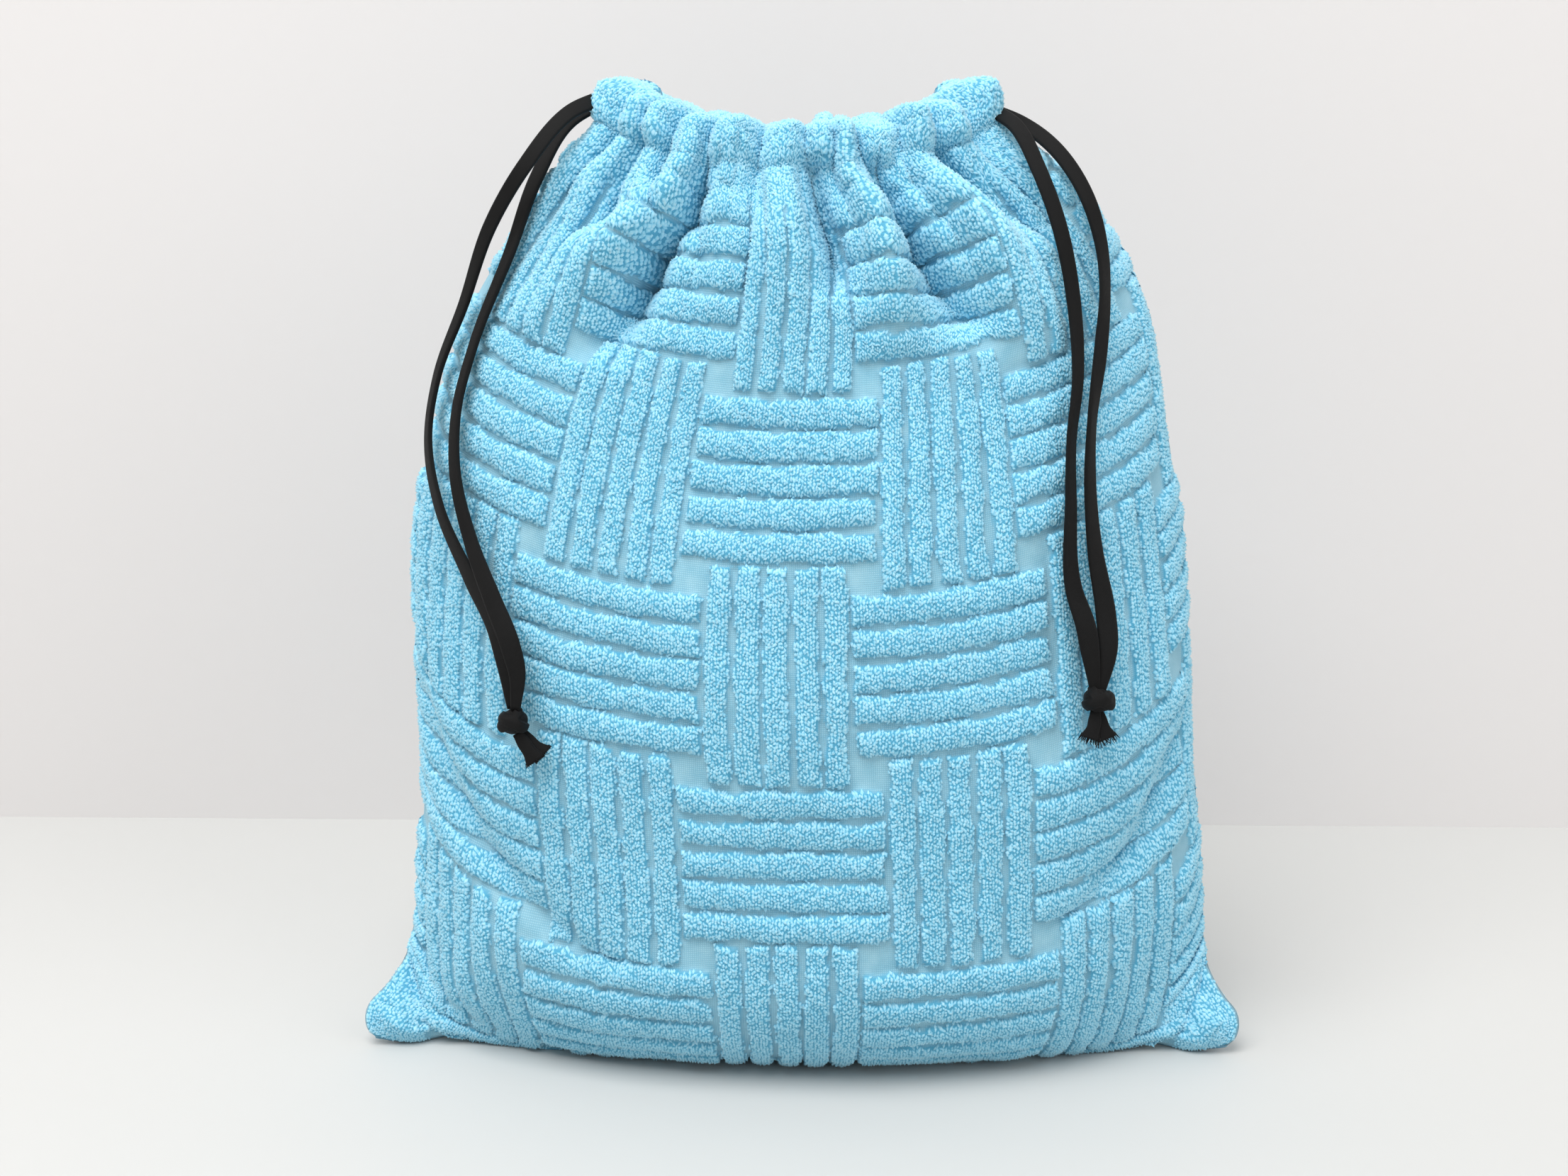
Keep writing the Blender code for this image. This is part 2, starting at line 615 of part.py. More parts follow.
RIGHT_FRONT_ROUTE = (
    (0.0655, -0.0045, 0.3335), (0.0730, -0.0150, 0.3280), (0.0800, -0.0260, 0.3140),
    (0.0865, -0.0330, 0.2960), (0.0920, -0.0370, 0.2680), (0.0930, -0.0420, 0.2470),
    (0.0910, -0.0465, 0.2270), (0.0910, -0.0500, 0.2070), (0.0925, -0.0535, 0.1780),
    (0.0965, -0.0565, 0.1660), (0.0980, -0.0575, 0.1590), (0.0980, -0.0575, 0.1478),
)
RIGHT_BACK_ROUTE = (
    (0.0655, 0.0030, 0.3330), (0.0755, -0.0010, 0.3290), (0.0880, -0.0130, 0.3190),
    (0.0975, -0.0215, 0.3030), (0.1020, -0.0255, 0.2860), (0.1025, -0.0300, 0.2740),
    (0.1010, -0.0360, 0.2560), (0.0980, -0.0425, 0.2320), (0.0975, -0.0455, 0.2170),
    (0.0995, -0.0490, 0.1910), (0.1035, -0.0520, 0.1690), (0.1042, -0.0550, 0.1590),
    (0.1040, -0.0560, 0.1478),
)

# Knots: where the strands run in at the top, and where the two tails end.
TAPE_WIDTH = 0.0075
TAPE_THICKNESS = 0.0018
KNOT_SIZE = (0.0130, 0.0100, 0.0125)
KNOT_GAP = 0.0005
LEFT_TAILS = (
    ((-0.0925, -0.0600, 0.1330), (-0.0905, -0.0605, 0.1265), (-0.0870, -0.0610, 0.1195)),
    ((-0.0945, -0.0575, 0.1330), (-0.0935, -0.0578, 0.1250), (-0.0915, -0.0582, 0.1165)),
)
RIGHT_TAILS = (
    ((0.0995, -0.0575, 0.1360), (0.0975, -0.0582, 0.1300), (0.0955, -0.0588, 0.1250)),
    ((0.1020, -0.0555, 0.1360), (0.1040, -0.0558, 0.1295), (0.1070, -0.0562, 0.1240)),
)


def smooth_line(points, spacing):
    """Points about this far apart on a smooth curve through the given ones."""
    points = np.array([tuple(p) for p in points])
    run = np.concatenate([[0], np.cumsum(np.linalg.norm(np.diff(points, axis=0), axis=1))])
    count = max(2, round(run[-1] / spacing))
    at = np.linspace(0, run[-1], count + 1)
    return [Vector(p) for p in np.stack([smooth_through(run, c, at) for c in points.T], 1)]


def cord_solid(name, line, level, side, front, back, tape):
    """One drawcord: down one strand, in at its slot, round the channel and out again."""
    count = len(line)
    start = 0 if side < 0 else count // 2
    lift = Vector((0, 0, level))
    ring = [line[(start + k) % count] + lift for k in range(3, count - 2)]
    ring = ring if side < 0 else list(reversed(ring))
    beside = CORD_DIAMETER / 2 + CORD_GAP
    mouth = side * (NECK_RING[0] + 0.004)
    height = line[start].z + level
    first, last = Vector((mouth, -beside, height)), Vector((mouth, beside, height))
    route = [*reversed(front), first, *ring, last, *back]
    curve = bpy.data.curves.new(name, "CURVE")
    curve.dimensions = "3D"
    curve.bevel_depth = CORD_DIAMETER / 2
    curve.bevel_resolution = 2
    curve.use_fill_caps = True
    points = smooth_line(route, 2.5 * CORD_DIAMETER)
    spline = curve.splines.new("POLY")
    spline.points.add(len(points) - 1)
    for point, at in zip(spline.points, points):
        point.co = (*at, 1)
    cord = bpy.data.objects.new(name, curve)
    bpy.context.collection.objects.link(cord)
    curve.materials.append(tape)
    return cord


def swept_tape(name, points, facing, width, thickness):
    """A flat strip along the points, its broad face turned towards facing."""
    bm = bmesh.new()
    rings = []
    for k, at in enumerate(points):
        along = (points[min(k + 1, len(points) - 1)] - points[max(k - 1, 0)]).normalized()
        broad = along.cross(facing).normalized()
        out = broad.cross(along)
        rings.append(
            [
                bm.verts.new(at + broad * (a * width / 2) + out * (b * thickness / 2))
                for a, b in ((-1, -1), (1, -1), (1, 1), (-1, 1))
            ]
        )
    for ring, after in zip(rings, rings[1:]):
        for j in range(4):
            bm.faces.new((ring[j], ring[(j + 1) % 4], after[(j + 1) % 4], after[j]))
    bm.faces.new(rings[0])
    bm.faces.new(rings[-1])
    bmesh.ops.recalc_face_normals(bm, faces=bm.faces)
    return finish_mesh(name, bm)


def knot_core(name, top):
    """The pulled-tight lump of the knot: a squashed barrel with a flat top."""
    width, depth, height = KNOT_SIZE
    bm = bmesh.new()
    profile = ((0.62, 0.0), (0.94, -0.18), (1.0, -0.45), (0.88, -0.78), (0.5, -1.0))
    rings = []
    for radius, drop in profile:
        rings.append(
            [
                bm.verts.new(
                    top
                    + Vector(
                        (
                            math.cos(a) * radius * width / 2,
                            math.sin(a) * radius * depth / 2,
                            drop * height,
                        )
                    )
                )
                for a in (2 * math.pi * k / 14 for k in range(14))
            ]
        )
    for ring, after in zip(rings, rings[1:]):
        for k in range(14):
            bm.faces.new((ring[k], ring[(k + 1) % 14], after[(k + 1) % 14], after[k]))
    bm.faces.new(rings[0])
    bm.faces.new(rings[-1])
    bmesh.ops.recalc_face_normals(bm, faces=bm.faces)
    return finish_mesh(name, bm)


def knot_solid(name, ends, tails, tilt, tape):
    """An overhand knot tied in both strands, with a turn of tape over it and two tails."""
    top = sum(ends, Vector()) / len(ends) - Vector((0, 0, KNOT_GAP))
    knot = knot_core(name, top)
    knot.data.materials.append(tape)
    width, depth, height = KNOT_SIZE
    middle = top - Vector((0, 0, 0.5 * height))
    turn = []
    for k in range(16):
        a = 2 * math.pi * k / 16
        x = math.cos(a) * (width / 2 - 0.0003)
        y = math.sin(a) * (depth / 2 - 0.0003)
        turn.append(middle + Vector((x, y, tilt * x)))
    band = ring_solid(name + "_turn", turn, TAPE_THICKNESS / 2, 0.3 * height)
    boolean(knot, band, "UNION")
    for k, points in enumerate(tails):
        facing = Vector((0.25 if k else -0.1, -1, 0.2))
        line = smooth_line(points, 0.004)
        tail = swept_tape(f"{name}_tail_{k + 1}", line, facing, TAPE_WIDTH, TAPE_THICKNESS)
        boolean(knot, tail, "UNION")
    return knot


def main():
    for piece in list(bpy.data.objects):
        bpy.data.objects.remove(piece, do_unlink=True)
    towelling = fabric("towelling", (0.21, 0.56, 0.84), 0.95)
    tape = fabric("black_tape", (0.012, 0.012, 0.013), 0.85)
    outer, inner = Form(False), Form(True)
    build_pouch(outer, inner, towelling)
    line = channel_line(outer, inner, CHANNEL_STEPS)
    level = (CORD_DIAMETER + CORD_GAP) / 2
    for side, name, front, back, tails, tilt in (
        (-1, "left", LEFT_FRONT_ROUTE, LEFT_BACK_ROUTE, LEFT_TAILS, 0.35),
        (1, "right", RIGHT_FRONT_ROUTE, RIGHT_BACK_ROUTE, RIGHT_TAILS, -0.3),
    ):
        front, back = [Vector(p) for p in front], [Vector(p) for p in back]
        cord_solid(f"drawcord_{name}", line, -side * level, side, front, back, tape)
        knot_solid(f"knot_{name}", (front[-1], back[-1]), tails, tilt, tape)


if __name__ == "__main__":
    main()
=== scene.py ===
import math

import bmesh
import bpy
import numpy as np
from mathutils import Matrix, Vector


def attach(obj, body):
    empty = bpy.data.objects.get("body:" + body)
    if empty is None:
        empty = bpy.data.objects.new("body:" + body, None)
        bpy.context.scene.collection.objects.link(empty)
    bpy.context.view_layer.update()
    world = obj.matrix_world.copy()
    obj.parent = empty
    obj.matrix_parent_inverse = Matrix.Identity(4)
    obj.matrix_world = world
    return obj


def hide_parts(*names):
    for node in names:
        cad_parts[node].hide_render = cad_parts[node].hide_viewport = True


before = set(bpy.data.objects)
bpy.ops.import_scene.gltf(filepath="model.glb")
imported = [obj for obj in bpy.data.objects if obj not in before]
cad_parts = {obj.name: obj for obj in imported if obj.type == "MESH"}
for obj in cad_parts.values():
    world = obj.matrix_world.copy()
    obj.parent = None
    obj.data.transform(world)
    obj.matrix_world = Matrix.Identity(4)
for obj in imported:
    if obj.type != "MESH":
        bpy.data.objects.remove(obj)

print("packed model loaded:", len(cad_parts), "nodes")
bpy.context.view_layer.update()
scene = bpy.context.scene
scene.view_settings.view_transform = "Standard"


def smoothThrough(knots, values, at):
    # smooth curve through given values
    knots, values = np.array(knots, float), np.array(values, float)
    slopes = np.gradient(values, knots)
    at = np.clip(at, knots[0], knots[-1])
    i = np.clip(np.searchsorted(knots, at, side="right") - 1, 0, len(knots) - 2)
    h = knots[i + 1] - knots[i]
    u = (at - knots[i]) / h
    return (
        (1 + 2 * u) * (1 - u) ** 2 * values[i]
        + u * (1 - u) ** 2 * h * slopes[i]
        + u * u * (3 - 2 * u) * values[i + 1]
        + u * u * (u - 1) * h * slopes[i + 1]
    )


def smoothStep(x, low, high):
    u = np.clip((np.asarray(x, float) - low) / (high - low), 0, 1)
    return u * u * (3 - 2 * u)


def fadeOut(x, low, high):
    # 1 up to low and 0 from high on
    return smoothStep(-np.asarray(x, float), -high, -low)


def bell(distance, width):
    return np.exp(-((distance / width) ** 2))


def softNoise(a, b, size, seed):
    # smooth random field over two coordinates, from -1 to 1, patches about size across
    table = np.random.default_rng(seed).uniform(-1, 1, (64, 64))
    x, y = np.asarray(a) / size + 1000.0, np.asarray(b) / size + 1000.0
    i, j = np.floor(x).astype(int), np.floor(y).astype(int)
    u, v = x - i, y - j
    u, v = u * u * (3 - 2 * u), v * v * (3 - 2 * v)
    p, q = i % 64, j % 64
    p1, q1 = (i + 1) % 64, (j + 1) % 64
    low = table[p, q] * (1 - u) + table[p1, q] * u
    high = table[p, q1] * (1 - u) + table[p1, q1] * u
    return low * (1 - v) + high * v


def unit(vectors):
    return vectors / np.maximum(np.linalg.norm(vectors, axis=-1, keepdims=True), 1e-12)


def runAlong(points):
    # distance from the first point to each one
    return np.concatenate([[0], np.cumsum(np.linalg.norm(np.diff(points, axis=0), axis=1))])


def smoothLine(points, spacing):
    # points about this far apart along a smooth curve through the given ones
    points = np.array(points, float)
    run = runAlong(points)
    at = np.linspace(0, run[-1], max(2, round(run[-1] / spacing)) + 1)
    return np.stack([smoothThrough(run, column, at) for column in points.T], 1)


def placePiece(mesh):
    piece = bpy.data.objects.new(mesh.name, mesh)
    bpy.context.collection.objects.link(piece)
    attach(piece, "root")
    return piece


def makePiece(name, points, faces, material):
    mesh = bpy.data.meshes.new(name)
    mesh.from_pydata([tuple(p) for p in points], [], faces)
    mesh.materials.append(material)
    mesh.polygons.foreach_set("use_smooth", [True] * len(mesh.polygons))
    return placePiece(mesh)


def turnFacesOut(piece):
    bm = bmesh.new()
    bm.from_mesh(piece.data)
    bmesh.ops.recalc_face_normals(bm, faces=bm.faces)
    bm.to_mesh(piece.data)
    bm.free()


def addFloat(piece, name, values):
    layer = piece.data.attributes.new(name, "FLOAT", "POINT")
    layer.data.foreach_set("value", values.ravel())


# camera, matched to the photograph
cameraSet = {"at": (0.012, -0.759, 0.3336), "turn": (77.59, 0.0, 1.26), "lens": 50.0}
eye = bpy.data.cameras.new("camera")
eye.lens = cameraSet["lens"]
eye.sensor_width = 36.0
camera = bpy.data.objects.new("camera", eye)
camera.location = cameraSet["at"]
camera.rotation_euler = [math.radians(a) for a in cameraSet["turn"]]
scene.collection.objects.link(camera)
scene.camera = camera


def linear(hexColour):
    # sRGB hex to the linear colour that Blender's sockets take
    parts = [int(hexColour[k : k + 2], 16) / 255 for k in (1, 3, 5)]
    return tuple(c / 12.92 if c <= 0.04045 else ((c + 0.055) / 1.055) ** 2.4 for c in parts) + (1,)


def addNode(tree, kind, links=None, values=None, **settings):
    node = tree.nodes.new(kind)
    for key, value in settings.items():
        setattr(node, key, value)
    for socket, value in (values or {}).items():
        node.inputs[socket].default_value = value
    for socket, source in (links or {}).items():
        tree.links.new(source, node.inputs[socket])
    return node


def setRamp(node, stops):
    ramp = node.color_ramp
    while len(ramp.elements) < len(stops):
        ramp.elements.new(0.5)
    for element, (at, colour) in zip(ramp.elements, stops):
        element.position = at
        element.color = linear(colour) if isinstance(colour, str) else (colour,) * 3 + (1,)
    return node


def roughen(tree, shader, height, strength, distance):
    bump = addNode(tree, "ShaderNodeBump", {"Height": height},
                   {"Strength": strength, "Distance": distance})
    tree.links.new(bump.outputs["Normal"], shader.inputs["Normal"])


def startMaterial(name, **values):
    material = bpy.data.materials.new(name)
    material.use_nodes = True
    tree = material.node_tree
    shader = tree.nodes["Principled BSDF"]
    for key, value in values.items():
        shader.inputs[key.replace("_", " ")].default_value = value
    return material, tree, shader


terrySet = {
    "gap": "#57a5c5",      # between the loops, where little light gets
    "loop": "#8fd1ea",
    "tip": "#b6e5f6",      # painted highlight on the rounded tops of the loops
    "ground": "#a0cbda",   # flat woven cloth in the grooves
    "groundLow": "#74adc4",
    "threadMm": 0.70,      # real thread spacing is 0.4 mm, drawn coarser so that it shows
}


def terryLoopCotton():
    # uncut cotton loops with no shine: a painted highlight makes the rounded tips light, and
    # painted shade makes the gaps deep blue
    material, tree, shader = startMaterial(
        "terryLoopCotton", Roughness=0.92, Sheen_Weight=0.35, Sheen_Roughness=0.45,
        Specular_IOR_Level=0.2,
    )
    shader.inputs["Sheen Tint"].default_value = linear("#d6f0fb")
    # the tip attribute runs from painted shade at each loop's feet to a painted highlight at its
    # tip
    tip = addNode(tree, "ShaderNodeAttribute", attribute_name="tip")
    place = addNode(tree, "ShaderNodeTexCoord")
    patch = addNode(tree, "ShaderNodeTexNoise", {"Vector": place.outputs["Object"]},
                    {"Scale": 260.0, "Detail": 3.0})
    mixed = addNode(tree, "ShaderNodeMath", {0: patch.outputs["Fac"], 2: tip.outputs["Fac"]},
                    {1: 0.30}, operation="MULTIPLY_ADD")
    ramp = addNode(tree, "ShaderNodeValToRGB", {"Fac": mixed.outputs[0]})
    setRamp(ramp, [(0.22, terrySet["gap"]), (0.50, terrySet["loop"]), (0.92, terrySet["tip"])])
    tree.links.new(ramp.outputs["Color"], shader.inputs["Base Color"])
    return material


def towellingGround():
    # woven ground of the towelling: matt, finely checked, paler in the grooves; under the loops it
    # takes the painted shade of the gaps between them
    material, tree, shader = startMaterial(
        "towellingGround", Roughness=0.95, Sheen_Weight=0.2, Sheen_Roughness=0.5,
        Specular_IOR_Level=0.15,
    )
    cover = addNode(tree, "ShaderNodeAttribute", attribute_name="pile")
    flat = addNode(tree, "ShaderNodeUVMap", uv_map="OFBake")
    mm = addNode(tree, "ShaderNodeMapping", {"Vector": flat.outputs["UV"]},
                 {"Scale": (cloth["uvSpan"] * 1000,) * 2 + (1,)})
    threads = [
        addNode(tree, "ShaderNodeTexWave", {"Vector": mm.outputs["Vector"]},
                {"Scale": 0.314 / terrySet["threadMm"], "Distortion": 1.2, "Detail": 1.0,
                 "Detail Scale": 2.0},
                wave_type="BANDS", bands_direction=axis, wave_profile="SIN")
        for axis in ("X", "Y")
    ]
    weave = addNode(tree, "ShaderNodeMath",
                    {0: threads[0].outputs["Fac"], 1: threads[1].outputs["Fac"]},
                    operation="MULTIPLY")
    cloudy = addNode(tree, "ShaderNodeTexNoise", {"Vector": mm.outputs["Vector"]},
                     {"Scale": 0.12, "Detail": 3.0})
    shade = addNode(tree, "ShaderNodeMath",
                    {0: weave.outputs[0], 2: cloudy.outputs["Fac"]}, {1: 0.6},
                    operation="MULTIPLY_ADD")
    groundRamp = addNode(tree, "ShaderNodeValToRGB", {"Fac": shade.outputs[0]})
    setRamp(groundRamp, [(0.25, terrySet["groundLow"]), (1.0, terrySet["ground"])])
    # under the loops and on the rolled rim the ground is painted with the painted shade of the gaps
    mix = addNode(tree, "ShaderNodeMix", {"Factor": cover.outputs["Fac"]}, data_type="RGBA")
    tree.links.new(groundRamp.outputs["Color"], mix.inputs["A"])
    mix.inputs["B"].default_value = linear(terrySet["gap"])
    tree.links.new(mix.outputs["Result"], shader.inputs["Base Color"])
    roughen(tree, shader, weave.outputs[0], 0.5, 0.0002)
    return material


def blackTwillTape():
    # flat woven polyester tape: black, faint diagonal ribs, a soft dull gleam along its bends
    material, tree, shader = startMaterial(
        "blackTwillTape", Roughness=0.7, Sheen_Weight=0.03, Sheen_Roughness=0.4,
        Specular_IOR_Level=0.22,
    )
    flat = addNode(tree, "ShaderNodeUVMap", uv_map="OFBake")
    ribs = addNode(tree, "ShaderNodeTexWave", {"Vector": flat.outputs["UV"]},
                   {"Scale": 60.0, "Distortion": 0.6, "Detail": 1.0},
                   wave_type="BANDS", bands_direction="DIAGONAL", wave_profile="SIN")
    ramp = addNode(tree, "ShaderNodeValToRGB", {"Fac": ribs.outputs["Fac"]})
    setRamp(ramp, [(0.0, "#030303"), (1.0, "#09090a")])
    tree.links.new(ramp.outputs["Color"], shader.inputs["Base Color"])
    roughen(tree, shader, ribs.outputs["Fac"], 0.35, 0.00015)
    return material


# the pouch's form
# the cloth is laid out flat, s across and t up from the bottom fold, then carried onto
# the filled, gathered shape

cloth = {
    "width": 0.330, "height": 0.378, "flatHeight": 0.393, "wall": 0.0028, "casingWall": 0.0114,
    "halfWidth": 0.1365, "halfDepth": 0.0665, "rim": 0.342, "baseFlat": 0.020,
    "neck": (0.0592, 0.0272), "earFill": 0.034, "earForward": 0.017, "earBend": 2.2,
    "shoulderLean": 0.005, "footLean": 0.004, "casingFrom": 0.3635, "channelAt": 0.3708,
    "pleatsFrom": 0.300, "pleatDepth": 0.0074, "liningPleat": 0.0024,
    "profilePoints": 757, "archPoints": 241, "uvSpan": 0.42,
}
liningSet = {
    "rows": ((0.0, 0.294, 26), (0.300, 0.375, 17)),
    "cornerHeight": 0.092, "seamLift": 0.05, "leanTo": (0.30, 0.36), "thickening": 0.006,
}
rimSet = {
    "steps": 6, "below": 0.003, "step": 0.0022, "roll": 0.0042, "from": (0.358, 0.374),
    "lobe": 0.0050, "lump": 0.0036, "lumpSize": 0.021,
}
pleatSet = {
    "lean": 0.42, "leanSize": 1.3, "leanFrom": (0.335, 0.352), "fullness": (0.86, 0.34),
    "fullSize": 0.9, "round": 1.15, "puff": 0.0018, "stitch": 0.0007, "stitchWidth": 0.0016,
}
slackSet = {
    "from": (0.03, 0.08), "to": (0.25, 0.34), "dent": 0.0018, "dentSize": 0.045,
    "ripple": 0.0006, "rippleSize": 0.019,
}
earSet = {
    "at": (0.150, 0.018), "size": (0.011, 0.014), "stand": 0.0035,
    # the crease between ear and bag: where it is, which way it runs, and its ends along it
    "creaseAt": (0.140, 0.016), "creaseWay": (0.75, 0.66), "creaseWidth": 0.0030,
    "creaseDepth": 0.0034, "creaseFrom": (-0.008, 0.004), "creaseTo": (0.026, 0.034),
    "looped": 0.0013, "loopedFrom": (0.138, 0.148), "loopedTo": (0.036, 0.052),
}
basket = {
    "cell": (0.0605, 0.065), "uprightWidth": 0.050, "levelHeight": 0.055, "bars": 5,
    "shift": (-0.006, 0.002), "seamMargin": 0.0010, "from": 0.014, "to": 0.3745,
    "groundHalf": 0.0010, "shoulder": 0.0015, "height": 0.0017, "crown": 0.0006,
    # mesh lines beside each groove, and the closest that two lines may come
    "lines": (0.0011, 0.0017, 0.0028), "closest": 0.0004,
    # the loops close over the grooves from this height on
    "closedFrom": 0.345, "closedOver": 0.005, "closedHeight": 0.0012,
}
lobes = {
    -1: (16, 16, 19, 15, 16, 19, 16, 14, 16, 16, 17, 20),
    1: (18, 15, 17, 16, 14, 18, 17, 15, 19, 15, 16, 18),
}
# share of the height, width mix from body to neck, seam height share, depth mix, sharpness
stations = (
    (0.000, -0.234, 0.009, None, 0.80), (0.012, -0.268, 0.018, None, 0.79),
    (0.028, -0.282, 0.034, None, 0.77), (0.042, -0.266, 0.046, None, 0.75),
    (0.058, -0.213, 0.058, None, 0.74), (0.078, -0.156, 0.076, None, 0.72),
    (0.100, -0.124, 0.098, None, 0.69), (0.132, -0.105, 0.122, None, 0.66),
    (0.244, -0.050, 0.245, 0.00, 0.58),
    (0.304, -0.018, 0.312, -0.012, 0.54), (0.423, 0.000, 0.444, -0.012, 0.50),
    (0.529, 0.027, 0.556, 0.035, 0.50), (0.635, 0.120, 0.661, 0.150, 0.50),
    (0.741, 0.253, 0.776, 0.338, 0.50), (0.833, 0.445, 0.851, 0.550, 0.50),
    (0.913, 0.726, 0.920, 0.763, 0.50), (0.960, 0.950, 0.956, 0.950, 0.50),
    (1.000, 1.000, 1.000, 1.000, 0.50),
)
# how much deeper the folds are pressed than measured, inwards and outwards, and how they end
foldSet = {"in": 1.55, "out": 1.25, "fadeIn": 0.01, "fadeOut": 0.012}
# folds down from the gathers in mm: height, place across, depth outwards, half width
folds = {
    -1: (
        ((322, -120, 0, 11), (340, -112, -4, 11), (360, -111, -3, 10)),
        ((284, -120, 0, 15), (312, -110, 6, 14), (327, -104, 7, 13), (340, -89, 6, 12),
         (360, -78, 3, 10)),
        ((286, -91, 0, 12), (306, -84, -8, 11), (322, -80, -13, 10), (334, -77, -13, 9),
         (344, -68, -10, 9), (360, -61, -5, 8)),
        ((280, -10, 0, 26), (320, -12, 4, 24), (345, -14, 5, 18), (362, -18, 2, 14)),
        ((316, 14, 0, 10), (330, 13, -9, 9), (344, 12, -12, 8), (360, 15, -6, 8)),
        ((298, 36, 0, 12), (321, 36, 6, 12), (338, 36, 7, 11), (360, 37, 3, 9)),
        ((298, 74, 0, 13), (312, 68, -7, 11), (325, 61, -11, 10), (340, 57, -11, 9),
         (360, 58, -5, 8)),
        ((284, 92, 0, 15), (309, 95, 6, 14), (333, 91, 7, 13), (360, 82, 3, 10)),
        ((322, 124, 0, 12), (340, 114, -7, 11), (360, 107, -4, 10)),
        # slack creases low on the bag
        ((84.5, -50, 0, 16), (102.5, -93, -2.6, 14), (130, -130, -4, 13), (158, -150, -1.5, 12)),
        ((98, 86, 0, 16), (114.5, 118, -3.6, 14), (137.5, 143, -3, 12), (150, 150, 0, 12)),
        ((40, -135, 0, 12), (60, -128, 3, 12), (85, -116, 2, 14), (110, -100, 0, 16)),
    ),
    1: (
        ((235, -80, 0, 14), (295, -70, -10, 12), (330, -58, -12, 10), (358, -50, -6, 8)),
        ((280, -40, 0, 14), (315, -36, 5, 14), (340, -34, 6, 12), (360, -32, 2, 10)),
        ((245, 10, 0, 14), (300, 6, -10, 12), (335, 4, -11, 10), (358, 4, -5, 8)),
        ((280, 46, 0, 14), (312, 42, 5, 14), (340, 36, 6, 12), (360, 32, 2, 10)),
        ((240, 90, 0, 14), (300, 78, -10, 12), (335, 62, -12, 10), (358, 55, -6, 8)),
    ),
}


def bodyProfile(up):
    # half width, seam height, half depth and middle height at each height of the cloth
    fine = np.linspace(0, cloth["height"], cloth["profilePoints"])
    share, mixes, seams, _, sharps = zip(*stations)
    u = fine / cloth["height"]
    mix = smoothThrough(share, mixes, u)
    halfWidth = cloth["halfWidth"] + (cloth["neck"][0] - cloth["halfWidth"]) * mix
    seamHeight = cloth["rim"] * smoothThrough(share, seams, u)
    sharp = smoothThrough(share, sharps, u)
    bend = cloth["halfDepth"] - cloth["baseFlat"]
    turned = cloth["baseFlat"] + bend * math.pi / 2
    upper = [r for r in stations if r[3] is not None and r[0] * cloth["height"] > turned]
    mix = smoothThrough(
        [turned / cloth["height"]] + [r[0] for r in upper], [0.0] + [r[3] for r in upper], u
    )
    angle = np.clip((fine - cloth["baseFlat"]) / bend, 0, math.pi / 2)
    halfDepth = np.where(
        fine < turned,
        np.minimum(fine, cloth["baseFlat"]) + bend * np.sin(angle),
        cloth["halfDepth"] + (cloth["neck"][1] - cloth["halfDepth"]) * mix,
    )
    rise = np.sqrt(np.maximum(0, 1 - np.gradient(halfDepth, fine) ** 2))
    rise[fine < cloth["baseFlat"]] = 0
    step = fine[1] - fine[0]
    middle = np.concatenate([[0], np.cumsum((rise[1:] + rise[:-1]) / 2) * step])
    lean = np.gradient(halfDepth, fine)
    climb = np.gradient(middle, fine)
    rows = (halfWidth, seamHeight, halfDepth, middle, sharp, lean, climb)
    return [np.interp(up, fine, row) for row in rows]


def pleatWave(across, side, up):
    # the gathers: 0 in the tight creases between two lobes and about 1 on the crest of each
    edges = np.concatenate([[0], np.cumsum(lobes[side])]) / sum(lobes[side]) * 2 - 1
    phase = np.interp(across, edges, np.arange(len(edges)))[None, :] + 0 * up[:, None]
    tight = fadeOut(np.abs(across), 0.88, 1.0)[None, :]
    # each lobe leans its own way and has its own fullness
    lean = softNoise(phase, up[:, None] * 28, pleatSet["leanSize"], 51 + side)
    phase = phase + tight * pleatSet["lean"] * lean * smoothStep(up, *pleatSet["leanFrom"])[:, None]
    least, spread = pleatSet["fullness"]
    full = least + spread * softNoise(
        np.floor(phase) + 0.5, up[:, None] * 45, pleatSet["fullSize"], 61 + side
    )
    return np.abs(np.sin(math.pi * phase)) ** pleatSet["round"] * (1 + (full - 1) * tight)


def gridNormals(points, side):
    up = np.gradient(points, axis=0)
    along = np.gradient(points, axis=1)
    out = np.cross(along, up) * (-side)
    out[:, (0, -1), 1] = 0
    out[0] = out[1]
    out[0, :, 1] = 0
    return unit(out)


